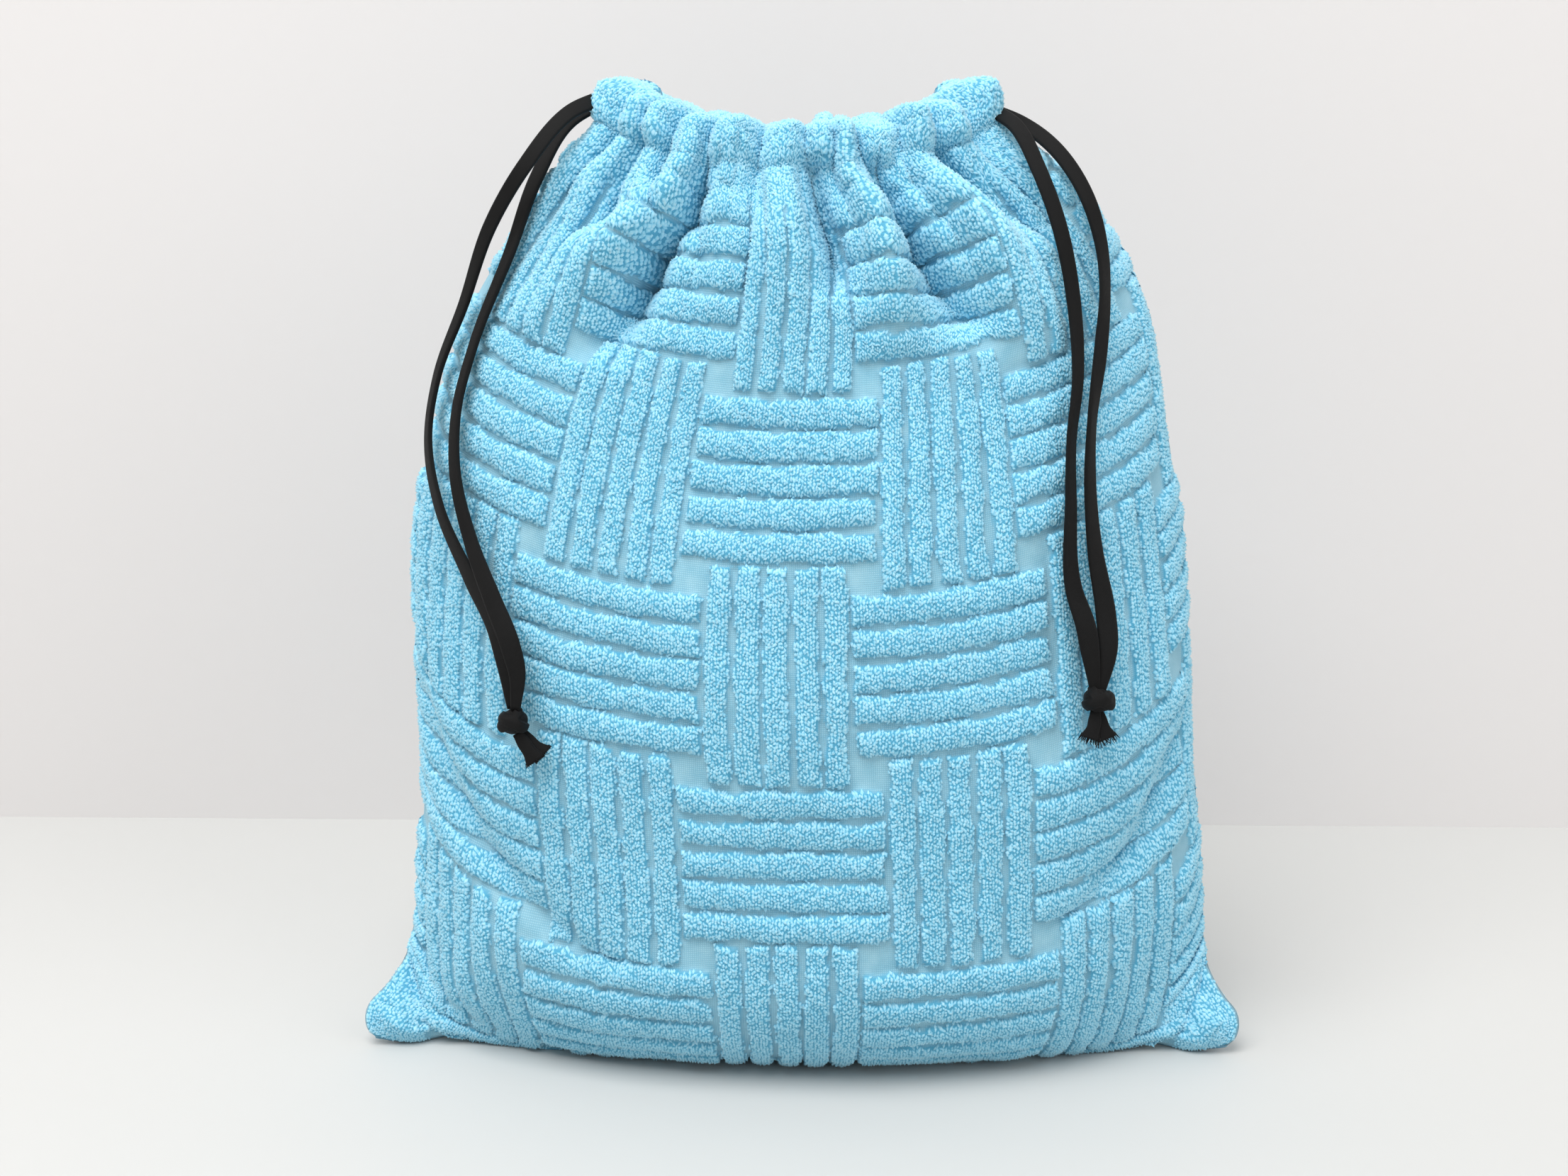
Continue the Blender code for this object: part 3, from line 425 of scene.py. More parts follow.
def filledForm(side, up, s, inner):
    # the bag's smooth filled shape, without folds
    across = s / (cloth["width"] / 2)
    u = up / cloth["height"]
    halfWidth, seamHeight, halfDepth, middle, sharp, lean, climb = bodyProfile(up)
    if inner:
        thicker = smoothStep(up, cloth["casingFrom"] - liningSet["thickening"], cloth["casingFrom"])
        wall = cloth["wall"] + (cloth["casingWall"] - cloth["wall"]) * thicker
        corner = np.clip(1 - up / liningSet["cornerHeight"], 0, 1) ** 2
        halfDepth = halfDepth - wall * climb
        middle = middle + wall * lean * fadeOut(up, *liningSet["leanTo"])
        halfWidth = halfWidth - wall - cloth["earFill"] * corner
        seamHeight = seamHeight + cloth["wall"] * np.clip(1 - up / liningSet["seamLift"], 0, 1)
    angle = np.linspace(-math.pi / 2, math.pi / 2, cloth["archPoints"])
    grid = np.zeros((len(up), len(s), 3))
    for i in range(len(up)):
        x = halfWidth[i] * np.sin(angle)
        y = halfDepth[i] * np.cos(angle).clip(0) ** (2 * sharp[i])
        run = runAlong(np.stack([x, y], 1))
        place = 2 * run / run[-1] - 1
        level = 1 - np.abs(across) ** (2 + 5 * (1 - u[i]) ** 3)
        grid[i, :, 0] = np.interp(across, place, x)
        grid[i, :, 1] = np.interp(across, place, y)
        grid[i, :, 2] = seamHeight[i] + (middle[i] - seamHeight[i]) * level
    shoulder = smoothStep(u, 0.6, 0.85) * fadeOut(up, 0.88 * cloth["height"], cloth["casingFrom"])
    foot = (1 - smoothStep(u, 0.2, 0.55)) * (0.35 + 0.65 * smoothStep(u, 0, 0.15))
    grid[..., 0] += (cloth["shoulderLean"] * shoulder + cloth["footLean"] * foot)[:, None]
    grid[:, (0, -1), 1] = 0
    return grid * (1, side, 1)


def foldDepths(side, up, s, inner):
    # how far the folds, gathers, dents and ears move the cloth outwards
    across = s / (cloth["width"] / 2)
    moved = np.zeros((len(up), len(s)))
    for fold in folds[side]:
        at, *columns = np.array(fold).T / 1000
        middleLine, depth, width = (smoothThrough(at, c, up)[:, None] for c in columns)
        seen = smoothStep(up, at[0], at[0] + foldSet["fadeIn"])
        seen = seen * fadeOut(up, at[-1], at[-1] + foldSet["fadeOut"])
        moved += seen[:, None] * depth * bell(s - middleLine, width)
    tight = fadeOut(np.abs(across), 0.85, 1.0)
    moved *= tight * np.where(moved < 0, foldSet["in"], foldSet["out"])
    casing = cloth["casingFrom"]
    drawn = smoothStep(up, cloth["pleatsFrom"], casing - 0.006)[:, None]
    wave = pleatWave(across, side, up)
    if inner:
        below = 1 - smoothStep(up, casing - 0.012, casing - 0.004)[:, None]
        flatter = cloth["liningPleat"] * (wave - 1) * (1 - below)
        moved += drawn * wave * cloth["pleatDepth"] * below + flatter
    else:
        puff = smoothStep(up, casing, cloth["channelAt"])[:, None]
        stitched = bell(up - casing, pleatSet["stitchWidth"])[:, None]
        deep = cloth["pleatDepth"] + pleatSet["puff"] * puff
        moved += drawn * wave * deep - pleatSet["stitch"] * stitched * wave
    # slack cloth over soft filling: shallow dents, none where it is drawn tight
    loose = smoothStep(up, *slackSet["from"]) * fadeOut(up, *slackSet["to"])
    a, b = s[None, :], up[:, None]
    dents = softNoise(a + 0.3 * b, b - 0.2 * a, slackSet["dentSize"], 5 + side)
    ripple = softNoise(a, b * 0.8, slackSet["rippleSize"], 15 + side)
    moved += loose[:, None] * tight * (slackSet["dent"] * dents + slackSet["ripple"] * ripple)
    # the bottom corners stand out as plump ears
    beside = np.abs(s) - earSet["at"][0]
    ear = bell(beside, earSet["size"][0]) * fadeOut(np.abs(across), 0.94, 1.0)
    moved += ear * bell(up - earSet["at"][1], earSet["size"][1])[:, None] * earSet["stand"]
    # a crease from the seam cuts each ear off from the bag
    x, y = np.abs(a) - earSet["creaseAt"][0], b - earSet["creaseAt"][1]
    wayX, wayY = earSet["creaseWay"]
    along = x * wayX + y * wayY
    crease = bell(x * wayY - y * wayX, earSet["creaseWidth"])
    crease = crease * smoothStep(along, *earSet["creaseFrom"])
    moved -= earSet["creaseDepth"] * crease * fadeOut(along, *earSet["creaseTo"])
    return moved


def clothForm(side, up, s, inner):
    # places of a grid of cloth points, and the way out from the cloth at each
    grid = filledForm(side, up, s, inner)
    moved = foldDepths(side, up, s, inner)
    grid = grid + gridNormals(grid, side) * moved[..., None]
    forward = cloth["earForward"] * (1 - smoothStep(up, 0.0, 0.07))[:, None]
    grid[..., 1] -= forward * np.abs(grid[..., 0] / cloth["halfWidth"]) ** cloth["earBend"]
    return grid, gridNormals(grid, side)


def grooveLines(axis):
    pitch = (basket["uprightWidth"], basket["levelHeight"])[axis] / basket["bars"]
    return sorted(
        basket["shift"][axis] + cell * basket["cell"][axis] + (k - basket["bars"] / 2) * pitch
        for cell in range(-6, 7)
        for k in range(basket["bars"] + 1)
    )


def linesBetween(grooves, low, high):
    # mesh lines that follow each groove: its floor, its edges and the top of the bar
    lines, closest = [low, high], basket["closest"]
    for a, b in zip(grooves, grooves[1:]):
        gap = b - a
        for step in (0.0, gap / 2, *basket["lines"], *(gap - step for step in basket["lines"])):
            if low + closest < a + step < high - closest:
                lines.append(a + step)
    lines = sorted(lines)
    kept = [lines[0]]
    for at in lines[1:]:
        if at - kept[-1] > closest:
            kept.append(at)
    kept[-1] = high
    return np.array(kept)


def barRelief(s, t, side):
    # height of the pile over the ground in the woven blocks of bars
    height = np.zeros((len(t), len(s)))
    half = cloth["width"] / 2
    (cellWide, cellHigh), (shiftS, shiftT) = basket["cell"], basket["shift"]
    wide, high = basket["uprightWidth"], basket["levelHeight"]
    ends = sorted(-side * basket[key] for key in ("from", "to"))
    for row in range(-6, 7):
        for column in range(-3, 4):
            upright = (row + column) % 2 == 1
            size = (wide, 2 * cellHigh - high) if upright else (2 * cellWide - wide, high)
            middle = (shiftS + column * cellWide, shiftT + row * cellHigh)
            s0 = max(middle[0] - size[0] / 2, basket["seamMargin"] - half)
            s1 = min(middle[0] + size[0] / 2, half - basket["seamMargin"])
            t0 = max(middle[1] - size[1] / 2, ends[0])
            t1 = min(middle[1] + size[1] / 2, ends[1])
            rows = np.nonzero((t >= t0) & (t <= t1))[0]
            columns = np.nonzero((s >= s0) & (s <= s1))[0]
            if not len(rows) or not len(columns):
                continue
            a, b = s[columns][None, :], t[rows][:, None]
            pitch = (size[0] if upright else size[1]) / basket["bars"]
            start = (middle[0] - size[0] / 2) if upright else (middle[1] - size[1] / 2)
            phase = ((a if upright else b) - start) % pitch
            groove = np.minimum(phase, pitch - phase) + 0 * (a + b)
            edge = np.minimum(np.minimum(a - s0, s1 - a), np.minimum(b - t0, t1 - b))
            wobble = 0.0006 * softNoise(a, b, 0.0034, 31 + side)
            wobble = wobble + 0.0005 * softNoise(a, b, 0.010, 33)
            inside = np.minimum(groove, edge) - basket["groundHalf"] + wobble
            lift = np.clip(inside / basket["shoulder"], 0, 1)
            rounded = np.sqrt(np.clip(1 - (1 - lift) ** 2, 0, 1))
            crown = np.clip(groove / (pitch / 2), 0, 1)
            value = rounded * (basket["height"] + basket["crown"] * crown)
            part = height[np.ix_(rows, columns)]
            height[np.ix_(rows, columns)] = np.maximum(part, value)
    return height


def borderStrip(upAll, liningUp, column, count):
    # a side border, closed from the outer cloth to the lining
    faces, first = [], len(upAll)
    i, j = 0, len(liningUp) - 1
    while i < first - 1 or j > 0:
        outer, inner = i * count + column, (first + j) * count + column
        if j == 0 or (i < first - 1 and upAll[i + 1] <= liningUp[j - 1]):
            i += 1
            faces.append((outer, inner, i * count + column))
        else:
            j -= 1
            faces.append((outer, inner, (first + j) * count + column))
    return faces


def loopRelief(side, up, s):
    # the same all over one panel, with its gathers, corners and seams
    relief = barRelief(s, -side * up, side)
    across, high = s / (cloth["width"] / 2), up[:, None]
    # near the gathers the loops close over the grooves
    edge = basket["closedFrom"] + 0.004 * softNoise(s[None, :], high, 0.008, 91)
    closed = smoothStep(high, edge, edge + basket["closedOver"])
    relief = np.maximum(relief, basket["closedHeight"] * closed)
    ear = smoothStep(np.abs(s), *earSet["loopedFrom"])
    ear = ear * (1 - smoothStep(up, *earSet["loopedTo"]))[:, None]
    relief = np.maximum(relief, earSet["looped"] * ear)
    return relief * fadeOut(np.abs(across), 0.992, 1.0)


def buildPanel(side):
    # one panel of the bag: its looped face, its rolled rim and its lining, closed all round
    half = cloth["width"] / 2
    s = linesBetween(grooveLines(0), -half, half)
    grooves = grooveLines(1)
    if side > 0:
        grooves = sorted(-g for g in grooves)
    top = cloth["height"] - rimSet["below"]
    up = linesBetween([g for g in grooves if -0.02 < g < 0.40], 0.0, top)
    print("panel", side, "grid", len(up), "by", len(s))

    base, out = clothForm(side, up, s, False)
    relief = loopRelief(side, up, s)
    worn = 1 + 0.16 * softNoise(s[None, :], up[:, None], 0.011, 41 + side)
    points = base + out * (relief * worn)[..., None]
    # the rim is lumpy where the lobes reach it
    lumps = softNoise(s[None, :], up[:, None] * 0.3, rimSet["lumpSize"], 77 + side)
    lumpy = rimSet["lobe"] * (pleatWave(s / half, side, up) - 0.5) + rimSet["lump"] * lumps
    nearRim = smoothStep(up, *rimSet["from"])[:, None]
    points[..., 2] += lumpy * nearRim * fadeOut(np.abs(s / half), 0.93, 1.0)
    points[..., 2] = np.maximum(points[..., 2], 0.0)

    # rolled rim, then the lining back down to the bottom fold
    liningUp = np.concatenate([np.linspace(*stretch) for stretch in liningSet["rows"]])
    inside = clothForm(side, liningUp, s, True)[0][::-1]
    liningUp = liningUp[::-1]
    steps = rimSet["steps"]
    rolled = []
    for k in range(1, steps + 1):
        u = k / (steps + 1)
        row = points[-1] + (inside[0] - points[-1]) * (1 - math.cos(math.pi * u)) / 2
        row[:, 2] += rimSet["roll"] * math.sin(math.pi * u)
        rolled.append(row)
    upAll = np.concatenate([up, top + rimSet["step"] * np.arange(1, steps + 1)])
    looped = np.concatenate([points, rolled])
    everything = np.concatenate([looped, inside])
    rows, count = everything.shape[:2]
    faces = []
    for r in range(rows):
        low, high = r * count, (r + 1) % rows * count
        faces += [(low + c, low + c + 1, high + c + 1, high + c) for c in range(count - 1)]
    for column in (0, count - 1):
        faces += borderStrip(upAll, liningUp, column, count)
    name = "frontPanel" if side < 0 else "backPanel"
    piece = makePiece(name, everything.reshape(-1, 3), faces, groundCloth)
    layFlat(piece, s, upAll, liningUp)
    # the pile attribute marks where the ground is painted with the painted shade of the gaps: under
    # the loops and on the rolled rim
    cover = np.clip(relief / (0.6 * basket["height"]), 0, 1)
    cover = np.concatenate([cover, np.ones((steps, count))])
    addFloat(piece, "pile", np.concatenate([cover, np.zeros((len(liningUp), count))]))
    turnFacesOut(piece)
    return piece, (upAll, s, looped, gridNormals(looped, side), cover)


def layFlat(piece, s, upAll, liningUp):
    # the flat cloth as the panel's own map, in one scale for both directions
    span, count, first = cloth["uvSpan"], len(s), len(upAll)
    share = s + cloth["width"] / 2
    heights = np.concatenate([upAll, liningUp])
    layer = piece.data.uv_layers.new(name="OFBake")
    index = np.zeros(len(piece.data.loops), int)
    piece.data.loops.foreach_get("vertex_index", index)
    r, c = index // count, index % count
    faces = piece.data.polygons
    faceRow = np.repeat(np.arange(len(faces)), [face.loop_total for face in faces]) // (count - 1)
    outer = faceRow < first
    corners = np.zeros((len(index), 2))
    corners[:, 0] = np.where(outer, share[c] / span, 0.80 + 0.18 * share[c] / cloth["width"])
    # the rim's last faces end on the lining's first row
    corners[:, 1] = np.where(outer & (r == first), upAll[-1] / span + 0.005, heights[r] / span)
    bridge = faceRow == len(heights) - 1
    corners[bridge, 1] = np.where(r[bridge] == 0, 0.99, 0.95)
    # the side borders lie in a narrow strip of their own
    ends = faceRow >= len(heights)
    corners[ends, 0] = np.where(r[ends] < first, 0.992, 0.998)
    corners[ends, 1] = 0.94 + 0.06 * heights[r[ends]] + 0.025 * (c[ends] > 0)
    layer.data.foreach_set("uv", corners.ravel())


loopSet = {
    "apart": (0.00106, 0.00120),   # across and up the cloth; they stand in chains up it
    "long": 0.00106, "wide": 0.00068, "tall": 0.00074, "sunk": 0.00020,
    "from": 0.004, "stray": (0.24, 0.36), "cover": 0.52, "coverSpread": 0.24, "turn": 0.48,
    "spreadUp": (0.75, 1.7), "spreadAcross": (0.75, 1.9), "size": (0.8, 1.2),
    # the ranges for each loop's tip and feet on the ramp: a painted highlight at the tip, painted
    # shade at the feet
    "tallness": (0.6, 1.25), "lean": (0.5, 0.4), "tipHighlight": (0.62, 1.0), "footShade": (0.0, 0.30),
    "patch": 0.42, "margin": 0.001,
}


def makeTufts(name, places):
    # four triangles for each loop, from its four feet to its tip
    triangles = np.array([(0, 1, 4), (1, 2, 4), (2, 3, 4), (3, 0, 4)])
    faces = ((np.arange(len(places)) * 5)[:, None, None] + triangles[None]).reshape(-1, 3)
    mesh = bpy.data.meshes.new(name)
    mesh.vertices.add(len(places) * 5)
    mesh.vertices.foreach_set("co", places.ravel())
    mesh.loops.add(faces.size)
    mesh.loops.foreach_set("vertex_index", faces.ravel())
    mesh.polygons.add(len(faces))
    mesh.polygons.foreach_set("loop_start", np.arange(len(faces)) * 3)
    mesh.polygons.foreach_set("use_smooth", [True] * len(faces))
    mesh.update(calc_edges=True)
    mesh.materials.append(loopCotton)
    piece = placePiece(mesh)
    return piece, faces


def layPatches(piece, faces, flatS, flatT, turn):
    # each tuft keeps its own patch of the flat cloth
    margin = loopSet["margin"]
    ring = np.array([(0, 1), (-1, 0), (0, -1), (1, 0), (0, 0)])
    ring = ring * loopSet["patch"] * loopSet["apart"][0]
    x = ring[:, 0] * np.cos(turn)[:, None] + ring[:, 1] * np.sin(turn)[:, None]
    y = ring[:, 1] * np.cos(turn)[:, None] - ring[:, 0] * np.sin(turn)[:, None]
    x = (flatS[:, None] + x + cloth["width"] / 2) / (cloth["width"] + 2 * margin)
    y = (flatT[:, None] + y - flatT.min() + margin) / (flatT.max() - flatT.min() + 2 * margin)
    uv = np.stack([x, y], 2).reshape(-1, 2)
    piece.data.uv_layers.new(name="OFBake").data.foreach_set("uv", uv[faces.ravel()].ravel())


def sowLoops(panel, surface, side, parts):
    # every loop of the pile is a small leaning tuft of its own
    up, s, points, normals, cover = surface
    random = np.random.default_rng(70 + side)
    apartS, apartT = loopSet["apart"]
    gridS, gridT = np.meshgrid(
        np.arange(s[0] + apartS, s[-1], apartS), np.arange(loopSet["from"], up[-1] - 0.001, apartT)
    )
    gridT = gridT + (np.arange(gridT.shape[1]) % 2)[None, :] * apartT / 2
    strayS, strayT = loopSet["stray"]
    gridS = (gridS + random.uniform(-strayS, strayS, gridS.shape) * apartS).ravel()
    gridT = (gridT + random.uniform(-strayT, strayT, gridT.shape) * apartT).ravel()
    i = np.clip(np.searchsorted(up, gridT) - 1, 0, len(up) - 2)
    j = np.clip(np.searchsorted(s, gridS) - 1, 0, len(s) - 2)
    u = ((gridT - up[i]) / (up[i + 1] - up[i])).clip(0, 1)
    v = ((gridS - s[j]) / (s[j + 1] - s[j])).clip(0, 1)
    weights = [(1 - u) * (1 - v), (1 - u) * v, u * (1 - v), u * v]

    def between(field):
        corners = (field[i, j], field[i, j + 1], field[i + 1, j], field[i + 1, j + 1])
        return sum((a[:, None] if field.ndim == 3 else a) * b for a, b in zip(weights, corners))

    unsure = random.uniform(-loopSet["coverSpread"], loopSet["coverSpread"], len(gridS))
    stay = between(cover) > loopSet["cover"] + unsure
    at, out = between(points)[stay], unit(between(normals))[stay]
    stepUp, stepAcross = points[i + 1, j] - points[i, j], points[i, j + 1] - points[i, j]
    upWay = stepUp[stay]
    upWay = unit(upWay - out * (upWay * out).sum(1, keepdims=True))
    acrossWay = np.cross(out, upWay)
    count = len(at)
    # where the cloth is spread or drawn together, its loops are too
    spreadUp = np.linalg.norm(stepUp, axis=1) / (up[i + 1] - up[i])
    spreadAcross = np.linalg.norm(stepAcross, axis=1) / (s[j + 1] - s[j])
    spreadUp = np.clip(spreadUp, *loopSet["spreadUp"])[stay][:, None]
    spreadAcross = np.clip(spreadAcross, *loopSet["spreadAcross"])[stay][:, None]
    angle = random.normal(0, loopSet["turn"], count)[:, None]
    longWay = upWay * np.cos(angle) + acrossWay * np.sin(angle)
    wideWay = np.cross(out, longWay)
    size = random.uniform(*loopSet["size"], (count, 1))
    tall = loopSet["tall"] * random.uniform(*loopSet["tallness"], (count, 1))
    leanLong, leanWide = (
        random.uniform(-most, most, (count, 1)) * loopSet[way]
        for most, way in zip(loopSet["lean"], ("long", "wide"))
    )
    foot = at - out * loopSet["sunk"]
    longHalf = longWay * size * spreadUp * loopSet["long"]
    wideHalf = wideWay * size * spreadAcross * loopSet["wide"]
    tip = at + out * tall + longWay * leanLong + wideWay * leanWide
    places = np.stack([foot + longHalf, foot + wideHalf, foot - longHalf, foot - wideHalf, tip], 1)
    places[..., 2] = np.maximum(places[..., 2], loopSet["sunk"])
    flatS, flatT, turn = gridS[stay], gridT[stay], angle[:, 0]
    edges = np.quantile(flatT, np.linspace(0, 1, parts + 1))
    edges[-1] += 1
    tufts = []
    for part in range(parts):
        some = (flatT >= edges[part]) & (flatT < edges[part + 1])
        piece, faces = makeTufts(f"{panel.name}Loops{part + 1}", places[some])
        # each loop's feet are painted in shade and its tip as a painted highlight
        tipHighlight = random.uniform(*loopSet["tipHighlight"], some.sum())
        footShade = random.uniform(*loopSet["footShade"], some.sum())
        addFloat(piece, "tip", np.stack([footShade, footShade, footShade, footShade, tipHighlight], 1))
        layPatches(piece, faces, flatS[some], flatT[some], turn[some])
        tufts.append(piece)
    print(panel.name, "loops:", count)
    return tufts


groundCloth = towellingGround()
loopCotton = terryLoopCotton()
twill = blackTwillTape()
print("camera and materials ready")

# drawcords: flat tapes from the casing's slots down to their knots, places in mm,
# with the way each tape faces at every point, in degrees from straight ahead
tapeSet = {
    "width": 0.0074, "thick": 0.0014, "step": 0.0016,
    # share of the full width that each stretch shows, because the tape rolls in on itself
    "rolled": (0.78, 0.74, 0.72, 0.72, 0.70, 0.70, 0.70, 0.72, 0.80, 0.96, 0.98, 0.44),
}
strands = {
    "leftFrontTape": {
        "side": -1, "node": "drawcord_left", "knot": "leftKnot",
        "facing": (15, 15, 10, 28, 48, 60, 64, 62, 58, 48, 28, 10),
        "route": (
            (-65.5, -4.5, 337.5), (-76, -14, 332.5), (-90.5, -24, 315), (-103, -21.5, 295),
            (-113, -19, 269), (-123, -19, 244), (-126, -22.5, 225), (-121, -34.5, 202),
            (-109.8, -44.5, 180), (-100.2, -55, 165), (-96.5, -58, 153), (-94.2, -59.2, 138),
        ),
    },
    "leftBackTape": {
        "side": -1, "node": "drawcord_left", "knot": "leftKnot",
        "facing": (30, 25, 25, 44, 54, 52, 46, 40, 30, 18, 8, 5),
        "route": (
            (-65.5, 3, 337), (-77, -2, 330), (-88, -12.5, 311), (-96.5, -20, 287),
            (-109, -25, 256), (-115, -29.5, 233), (-115, -35.5, 214), (-109, -44, 192),
            (-100.8, -53.5, 174), (-94.2, -60.5, 160), (-92, -61.5, 151), (-92.8, -61.2, 138),
        ),
    },
    "rightFrontTape": {
        "side": 1, "node": "drawcord_right", "knot": "rightKnot",
        "facing": (25, 12, 5, 12, 30, 48, 58, 50, 36, 22, 10, 5),
        "route": (
            (65.5, -4.5, 333.5), (73, -15, 328), (80, -26, 314), (86.5, -33, 296),
            (92, -37, 268), (93, -42, 247), (91, -46.5, 227), (91, -50, 207),
            (92.5, -53.5, 178), (96.5, -56.5, 166), (98, -57.2, 158), (100.1, -57, 143.8),
        ),
    },
    "rightBackTape": {
        "side": 1, "node": "drawcord_right", "knot": "rightKnot",
        "facing": (30, 20, 10, 20, 42, 50, 35, 60, 50, 38, 20, 10, 5),
        "route": (
            (65.5, 3, 333), (75.5, -1, 329), (88, -13, 319), (97.5, -21.5, 303),
            (102, -25.5, 286), (102.5, -30, 274), (101, -36, 256), (98, -42.5, 232),
            (97.5, -45.5, 217), (99.5, -49, 191), (103.5, -52, 169), (104.2, -55, 158),
            (101.8, -56.6, 143.8),
        ),
    },
}


def buildTape(name, line, facing, width, thick):
    # a flat woven strip with thick soft edges, swept along a line
    upper = [(-0.5, 0), (-0.47, 0.36), (-0.38, 0.5), (0, 0.42), (0.38, 0.5), (0.47, 0.36)]
    section = upper + [(-a, -b) for a, b in upper]
    line = np.array(line, float)
    ahead = unit(np.gradient(line, axis=0))
    facing = np.array(facing, float)
    out = unit(facing - ahead * (facing * ahead).sum(1, keepdims=True))
    broad = np.cross(ahead, out)
    width, thick = np.broadcast_to(width, len(line)), np.broadcast_to(thick, len(line))
    points = np.concatenate([
        line[k] + broad[k] * a * width[k] + out[k] * b * thick[k]
        for k in range(len(line))
        for a, b in section
    ]).reshape(-1, 3)
    n, m = len(line), len(section)
    faces = [
        (k * m + j, k * m + (j + 1) % m, (k + 1) * m + (j + 1) % m, (k + 1) * m + j)
        for k in range(n - 1)
        for j in range(m)
    ]
    faces += [tuple(range(m)), tuple(range((n - 1) * m, n * m))]
    piece = makePiece(name, points, faces, twill)
    layer = piece.data.uv_layers.new(name="OFBake")
    for face in piece.data.polygons:
        for loop in face.loop_indices:
            k, j = divmod(piece.data.loops[loop].vertex_index, m)
            ring, turn = face.index // m, face.index % m
            u, v = (turn + (j != turn)) / m, (ring + (k != ring)) / (n - 1)
            layer.data[loop].uv = (u * 0.98, min(v, 1.0))
    turnFacesOut(piece)
    return piece


def buildStrand(name, plan):
    route = np.array(plan["route"]) / 1000
    line = smoothLine(route, tapeSet["step"])
    run = np.linspace(0, 1, len(line))
    reached = runAlong(route)
    angle = np.radians(smoothThrough(reached / reached[-1], plan["facing"], run))
    facing = np.stack([plan["side"] * np.sin(angle), -np.cos(angle), 0.25 * np.ones_like(angle)], 1)
    rolled = smoothThrough(np.linspace(0, 1, len(tapeSet["rolled"])), tapeSet["rolled"], run)
    thick = tapeSet["thick"] * (1.7 - 0.7 * rolled)
    piece = buildTape(name, line, facing, tapeSet["width"] * rolled, thick)
    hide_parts(plan["node"])
    return piece, line, float(runAlong(line)[-1])


builtStrands = {name: buildStrand(name, plan) for name, plan in strands.items()}
print("tapes built")

# knots: both strands tied together in one overhand knot, its turns drawn tight
knotSet = {
    # the upper and the lower turn: place along the turn's axis, the band's half width where
    # it is full and where it ends, and how far it stands out
    "over": {"at": -0.12, "band": (0.34, 0.43), "stand": 0.090, "ridge": 0.025},
    "under": {"at": 0.38, "band": (0.24, 0.33), "stand": 0.075},
    "lump": 0.43, "uneven": 0.018, "skew": 0.07, "corner": 0.085, "drawnIn": 0.055,
    "tailStep": 0.0008, "tailThick": 0.0013,
}
fraySet = {"threads": 26, "points": 5, "sides": 4, "thin": 0.00022, "rooted": 0.0012}
# places and sizes in mm
knots = {
    "leftKnot": {
        "node": "knot_left", "at": (-93.5, -60.3, 134), "size": (10.4, 9, 10.4),
        "tilt": 0.50, "tailWidth": 0.0046, "fray": 0.0003, "seed": 9,
        "tails": (
            ((-92.5, -61, 130), (-89.5, -61.8, 125.5), (-86.2, -62.2, 120.5)),
            ((-91.5, -59.5, 130), (-88.2, -60.2, 126.2), (-83.8, -60.6, 122.2)),
        ),
    },
    "rightKnot": {
        "node": "knot_right", "at": (100.8, -57.2, 141.8), "size": (10.8, 9.2, 10.2),
        "tilt": -0.45, "tailWidth": 0.0042, "fray": 0.0024, "seed": 10,
        "tails": (
            ((100.2, -58, 138), (99.8, -59, 133.5), (98.5, -59.6, 128.8)),
            ((101.2, -56.6, 138), (102.6, -57.4, 133.5), (104.6, -58, 128.4)),
        ),
    },
}


def knotReach(way, tilt):
    # how far the lump reaches in each direction from its middle
    over = unit(np.array((math.sin(tilt), 0.20, math.cos(tilt))))
    under = unit(np.array((-math.sin(1.6 * tilt), -0.25, math.cos(1.6 * tilt))))
    # the turns of tape stand proud of the lump as bands that cross
    upper, lower = knotSet["over"], knotSet["under"]
    onUpper = 1 - smoothStep(np.abs(way @ over - upper["at"]), *upper["band"])
    onLower = 1 - smoothStep(np.abs(way @ under - lower["at"]), *lower["band"])
    ridge = np.cos((way @ over - upper["at"]) * 9) * 0.5 + 0.5
    reach = knotSet["lump"] + onUpper * (upper["stand"] + upper["ridge"] * ridge)
    reach += onLower * (1 - onUpper) * lower["stand"]
    reach += knotSet["uneven"] * softNoise(way[:, 0] + way[:, 1], way[:, 2], 0.45, 12)
    reach *= 1 + knotSet["skew"] * way[:, 0] * way[:, 2] * math.copysign(1, tilt)
    # drawn in under the strands, with one turn's fold out at the lower side
    corner = unit(np.array((-math.copysign(0.85, tilt), -0.2, -0.42)))
    reach += knotSet["corner"] * np.clip(way @ corner, 0, 1) ** 9
    return reach - knotSet["drawnIn"] * smoothStep(way[:, 2], 0.2, 0.9)


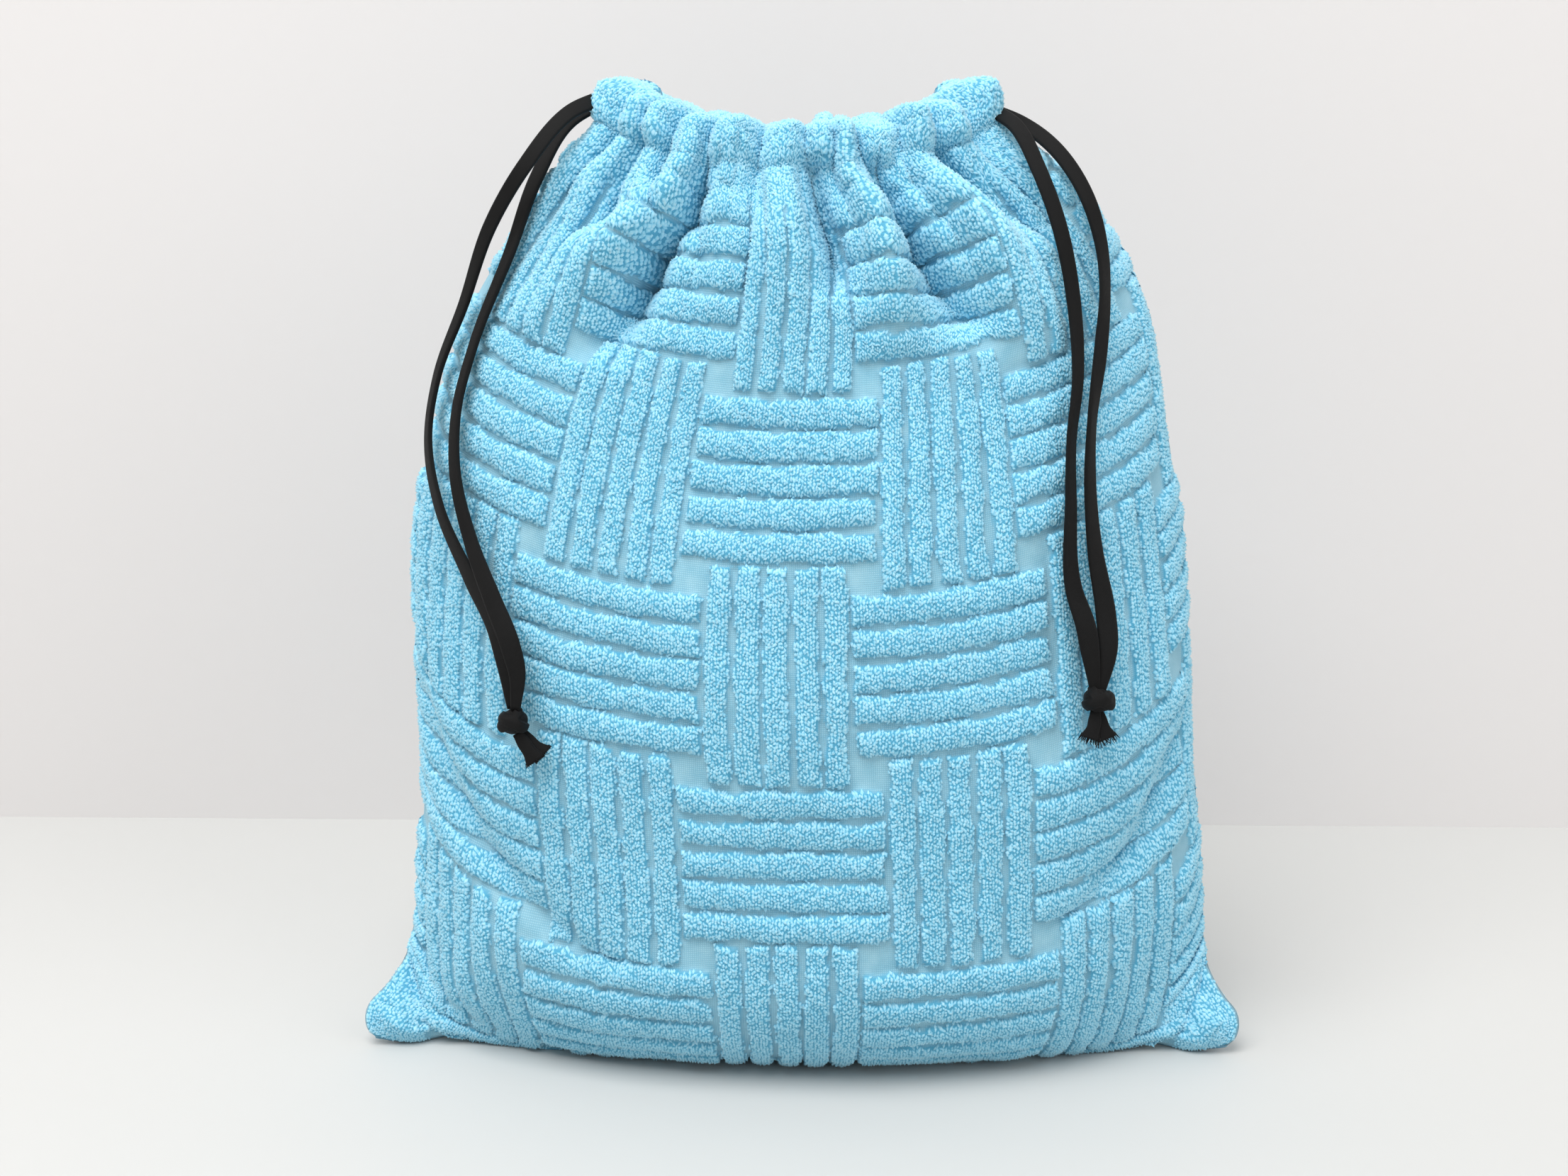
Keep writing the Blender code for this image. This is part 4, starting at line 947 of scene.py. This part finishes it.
def buildKnot(name, plan):
    bpy.ops.object.select_all(action="DESELECT")
    bpy.ops.mesh.primitive_uv_sphere_add(segments=72, ring_count=48, radius=1.0)
    lump = bpy.context.object
    lump.name = name
    way = np.zeros(len(lump.data.vertices) * 3)
    lump.data.vertices.foreach_get("co", way)
    way = way.reshape(-1, 3)
    places = plan["at"] + way * knotReach(way, plan["tilt"])[:, None] * plan["size"]
    lump.data.vertices.foreach_set("co", (places / 1000).ravel())
    lump.data.update()
    lump.data.materials.append(twill)
    bpy.ops.object.shade_smooth()
    lump.data.uv_layers[0].name = "OFBake"
    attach(lump, "root")
    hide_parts(plan["node"])
    pieces = [lump]
    # cut tails that fray into threads
    random = np.random.default_rng(plan["seed"])
    for k, points in enumerate(plan["tails"]):
        line = smoothLine(np.array(points) / 1000, knotSet["tailStep"])
        facing = np.tile([0.25 if k else -0.1, -1.0, 0.2], (len(line), 1))
        run = np.linspace(0, 1, len(line))
        flare = 0.80 + 0.25 * smoothStep(run, 0.0, 0.4) + 0.5 * smoothStep(run, 0.6, 1.0)
        width = plan["tailWidth"] * flare
        tail = buildTape(f"{name}Tail{k + 1}", line, facing, width, knotSet["tailThick"])
        ends = (facing[-1], width[-1], plan["fray"])
        pieces += [tail, buildFray(f"{name}Fray{k + 1}", line, *ends, random)]
    return pieces


def buildFray(name, line, facing, width, longest, random):
    # loose threads past the cut end of a tail
    ahead = unit(line[-1] - line[-3])
    broad = unit(np.cross(ahead, facing))
    out = np.cross(broad, ahead)
    threads, rings, sides = (fraySet[key] for key in ("threads", "points", "sides"))
    points, faces = [], []
    for k in range(threads):
        across = (k / (threads - 1) - 0.5) * width * 0.94
        start = line[-1] + broad * across - ahead * fraySet["rooted"]
        start = start + out * random.uniform(-0.0004, 0.0004)
        long = fraySet["rooted"] + random.uniform(0.4, 1.0) * longest
        sway = broad * random.normal(0, 0.0007) + out * random.normal(0, 0.0006)
        for m in range(rings):
            u = m / (rings - 1)
            centre = start + ahead * long * u + sway * u * u + broad * across * 0.25 * u
            thin = fraySet["thin"] * (1 - 0.5 * u)
            for n in range(sides):
                turn = math.pi / 2 * n
                points.append(centre + broad * math.cos(turn) * thin + out * math.sin(turn) * thin)
        root = k * rings * sides
        for low in range(root, root + (rings - 1) * sides, sides):
            for n in range(sides):
                a, b = low + n, low + (n + 1) % sides
                faces.append((a, b, b + sides, a + sides))
        for end in (root, root + (rings - 1) * sides):
            faces.append(tuple(range(end, end + sides)))
    piece = makePiece(name, points, faces, twill)
    turnFacesOut(piece)
    return piece


knotPieces = {name: buildKnot(name, plan) for name, plan in knots.items()}
print("knots tied")

# the two panels of the bag with their loops
for side in (-1, 1):
    panel, surface = buildPanel(side)
    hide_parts("pouch_body")
    tufts = sowLoops(panel, surface, side, 2)
print("cloth gathered")

casingCord = {
    "width": 0.0040, "thick": 0.0024, "step": 0.004, "points": 40, "above": 0.0027,
    "slotAt": 0.0535, "slotGap": 0.004,
}


def cordInCasing(name, node, side):
    # what runs unseen inside the casing: the bunched middle of a drawcord
    s = np.cos(np.linspace(0, math.pi, casingCord["points"]))[:-1] * cloth["width"] / 2
    level = cloth["channelAt"] + np.array((-0.0005, 0, 0.0005))
    ring = []
    for panelSide in (-1, 1):
        outer, inner = (
            clothForm(panelSide, level, np.sort(s), inside)[0][1] for inside in (False, True)
        )
        ring.append(((outer + inner) / 2)[::-panelSide])
    ring = np.concatenate(ring)
    ring = ring[np.abs(ring[:, 0] - side * casingCord["slotAt"]) > casingCord["slotGap"]]
    # the line starts past its widest gap, where the cord leaves the casing
    gap = int(np.argmax(np.linalg.norm(np.diff(ring, axis=0), axis=1))) + 1
    ring = np.roll(ring, -gap, 0)
    ring[:, 2] -= side * casingCord["above"]
    line = smoothLine(ring, casingCord["step"])
    facing = smoothLine(ring * (1, 6, 0), casingCord["step"])[: len(line)]
    piece = buildTape(name, line, facing, casingCord["width"], casingCord["thick"])
    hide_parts(node)


cordInCasing("leftCordInCasing", "drawcord_left", -1)
cordInCasing("rightCordInCasing", "drawcord_right", 1)

# plain pale floor and a wall behind, clear from the back so that the pouch can be seen
stageSet = {"wallAt": 0.235, "half": 3.0, "high": 2.6, "wall": "#dbd8d7", "floor": "#cbcbc9"}


def stageBoard(name, corners, colour):
    # matt painted board
    material, tree, shader = startMaterial(name + "Paint", Roughness=0.6, Specular_IOR_Level=0.3)
    shader.inputs["Base Color"].default_value = linear(colour)
    facing = addNode(tree, "ShaderNodeNewGeometry")
    clear = addNode(tree, "ShaderNodeBsdfTransparent")
    mix = addNode(tree, "ShaderNodeMixShader", {
        0: facing.outputs["Backfacing"], 1: shader.outputs["BSDF"], 2: clear.outputs["BSDF"],
    })
    tree.links.new(mix.outputs["Shader"], tree.nodes["Material Output"].inputs["Surface"])
    mesh = bpy.data.meshes.new(name)
    mesh.from_pydata(corners, [], [(0, 1, 2, 3)])
    mesh.materials.append(material)
    piece = bpy.data.objects.new(name, mesh)
    scene.collection.objects.link(piece)


edge, wallAt, high = stageSet["half"], stageSet["wallAt"], stageSet["high"]
foot = [(edge, wallAt, 0), (-edge, wallAt, 0)]
stageBoard("floor", [(-edge, -edge, 0), (edge, -edge, 0), *foot], stageSet["floor"])
stageBoard(
    "wall", [*foot[::-1], (edge, wallAt, high), (-edge, wallAt, high)], stageSet["wall"]
)

# soft studio light: a broad window from the upper left, a weaker fill, and a bright room
lightSet = {
    "key": {"at": (-0.5, -1.0, 2.1), "size": 1.6, "watts": 54.0, "colour": (1.0, 0.995, 0.99)},
    "fill": {"at": (1.5, -1.1, 1.1), "size": 1.4, "watts": 9.0, "colour": (1.0, 1.0, 1.0)},
    "room": {"colour": (1.0, 0.998, 0.995), "strength": 0.49},
}
for name in ("key", "fill"):
    plan = lightSet[name]
    lamp = bpy.data.lights.new(name, "AREA")
    lamp.size = plan["size"]
    lamp.energy = plan["watts"]
    lamp.color = plan["colour"]
    holder = bpy.data.objects.new(name, lamp)
    holder.location = plan["at"]
    aim = Vector((0, 0, 0.17)) - Vector(plan["at"])
    holder.rotation_euler = aim.to_track_quat("-Z", "Y").to_euler()
    scene.collection.objects.link(holder)
world = bpy.data.worlds.new("room")
world.use_nodes = True
sky = world.node_tree.nodes["Background"]
sky.inputs["Color"].default_value = (*lightSet["room"]["colour"], 1)
sky.inputs["Strength"].default_value = lightSet["room"]["strength"]
scene.world = world
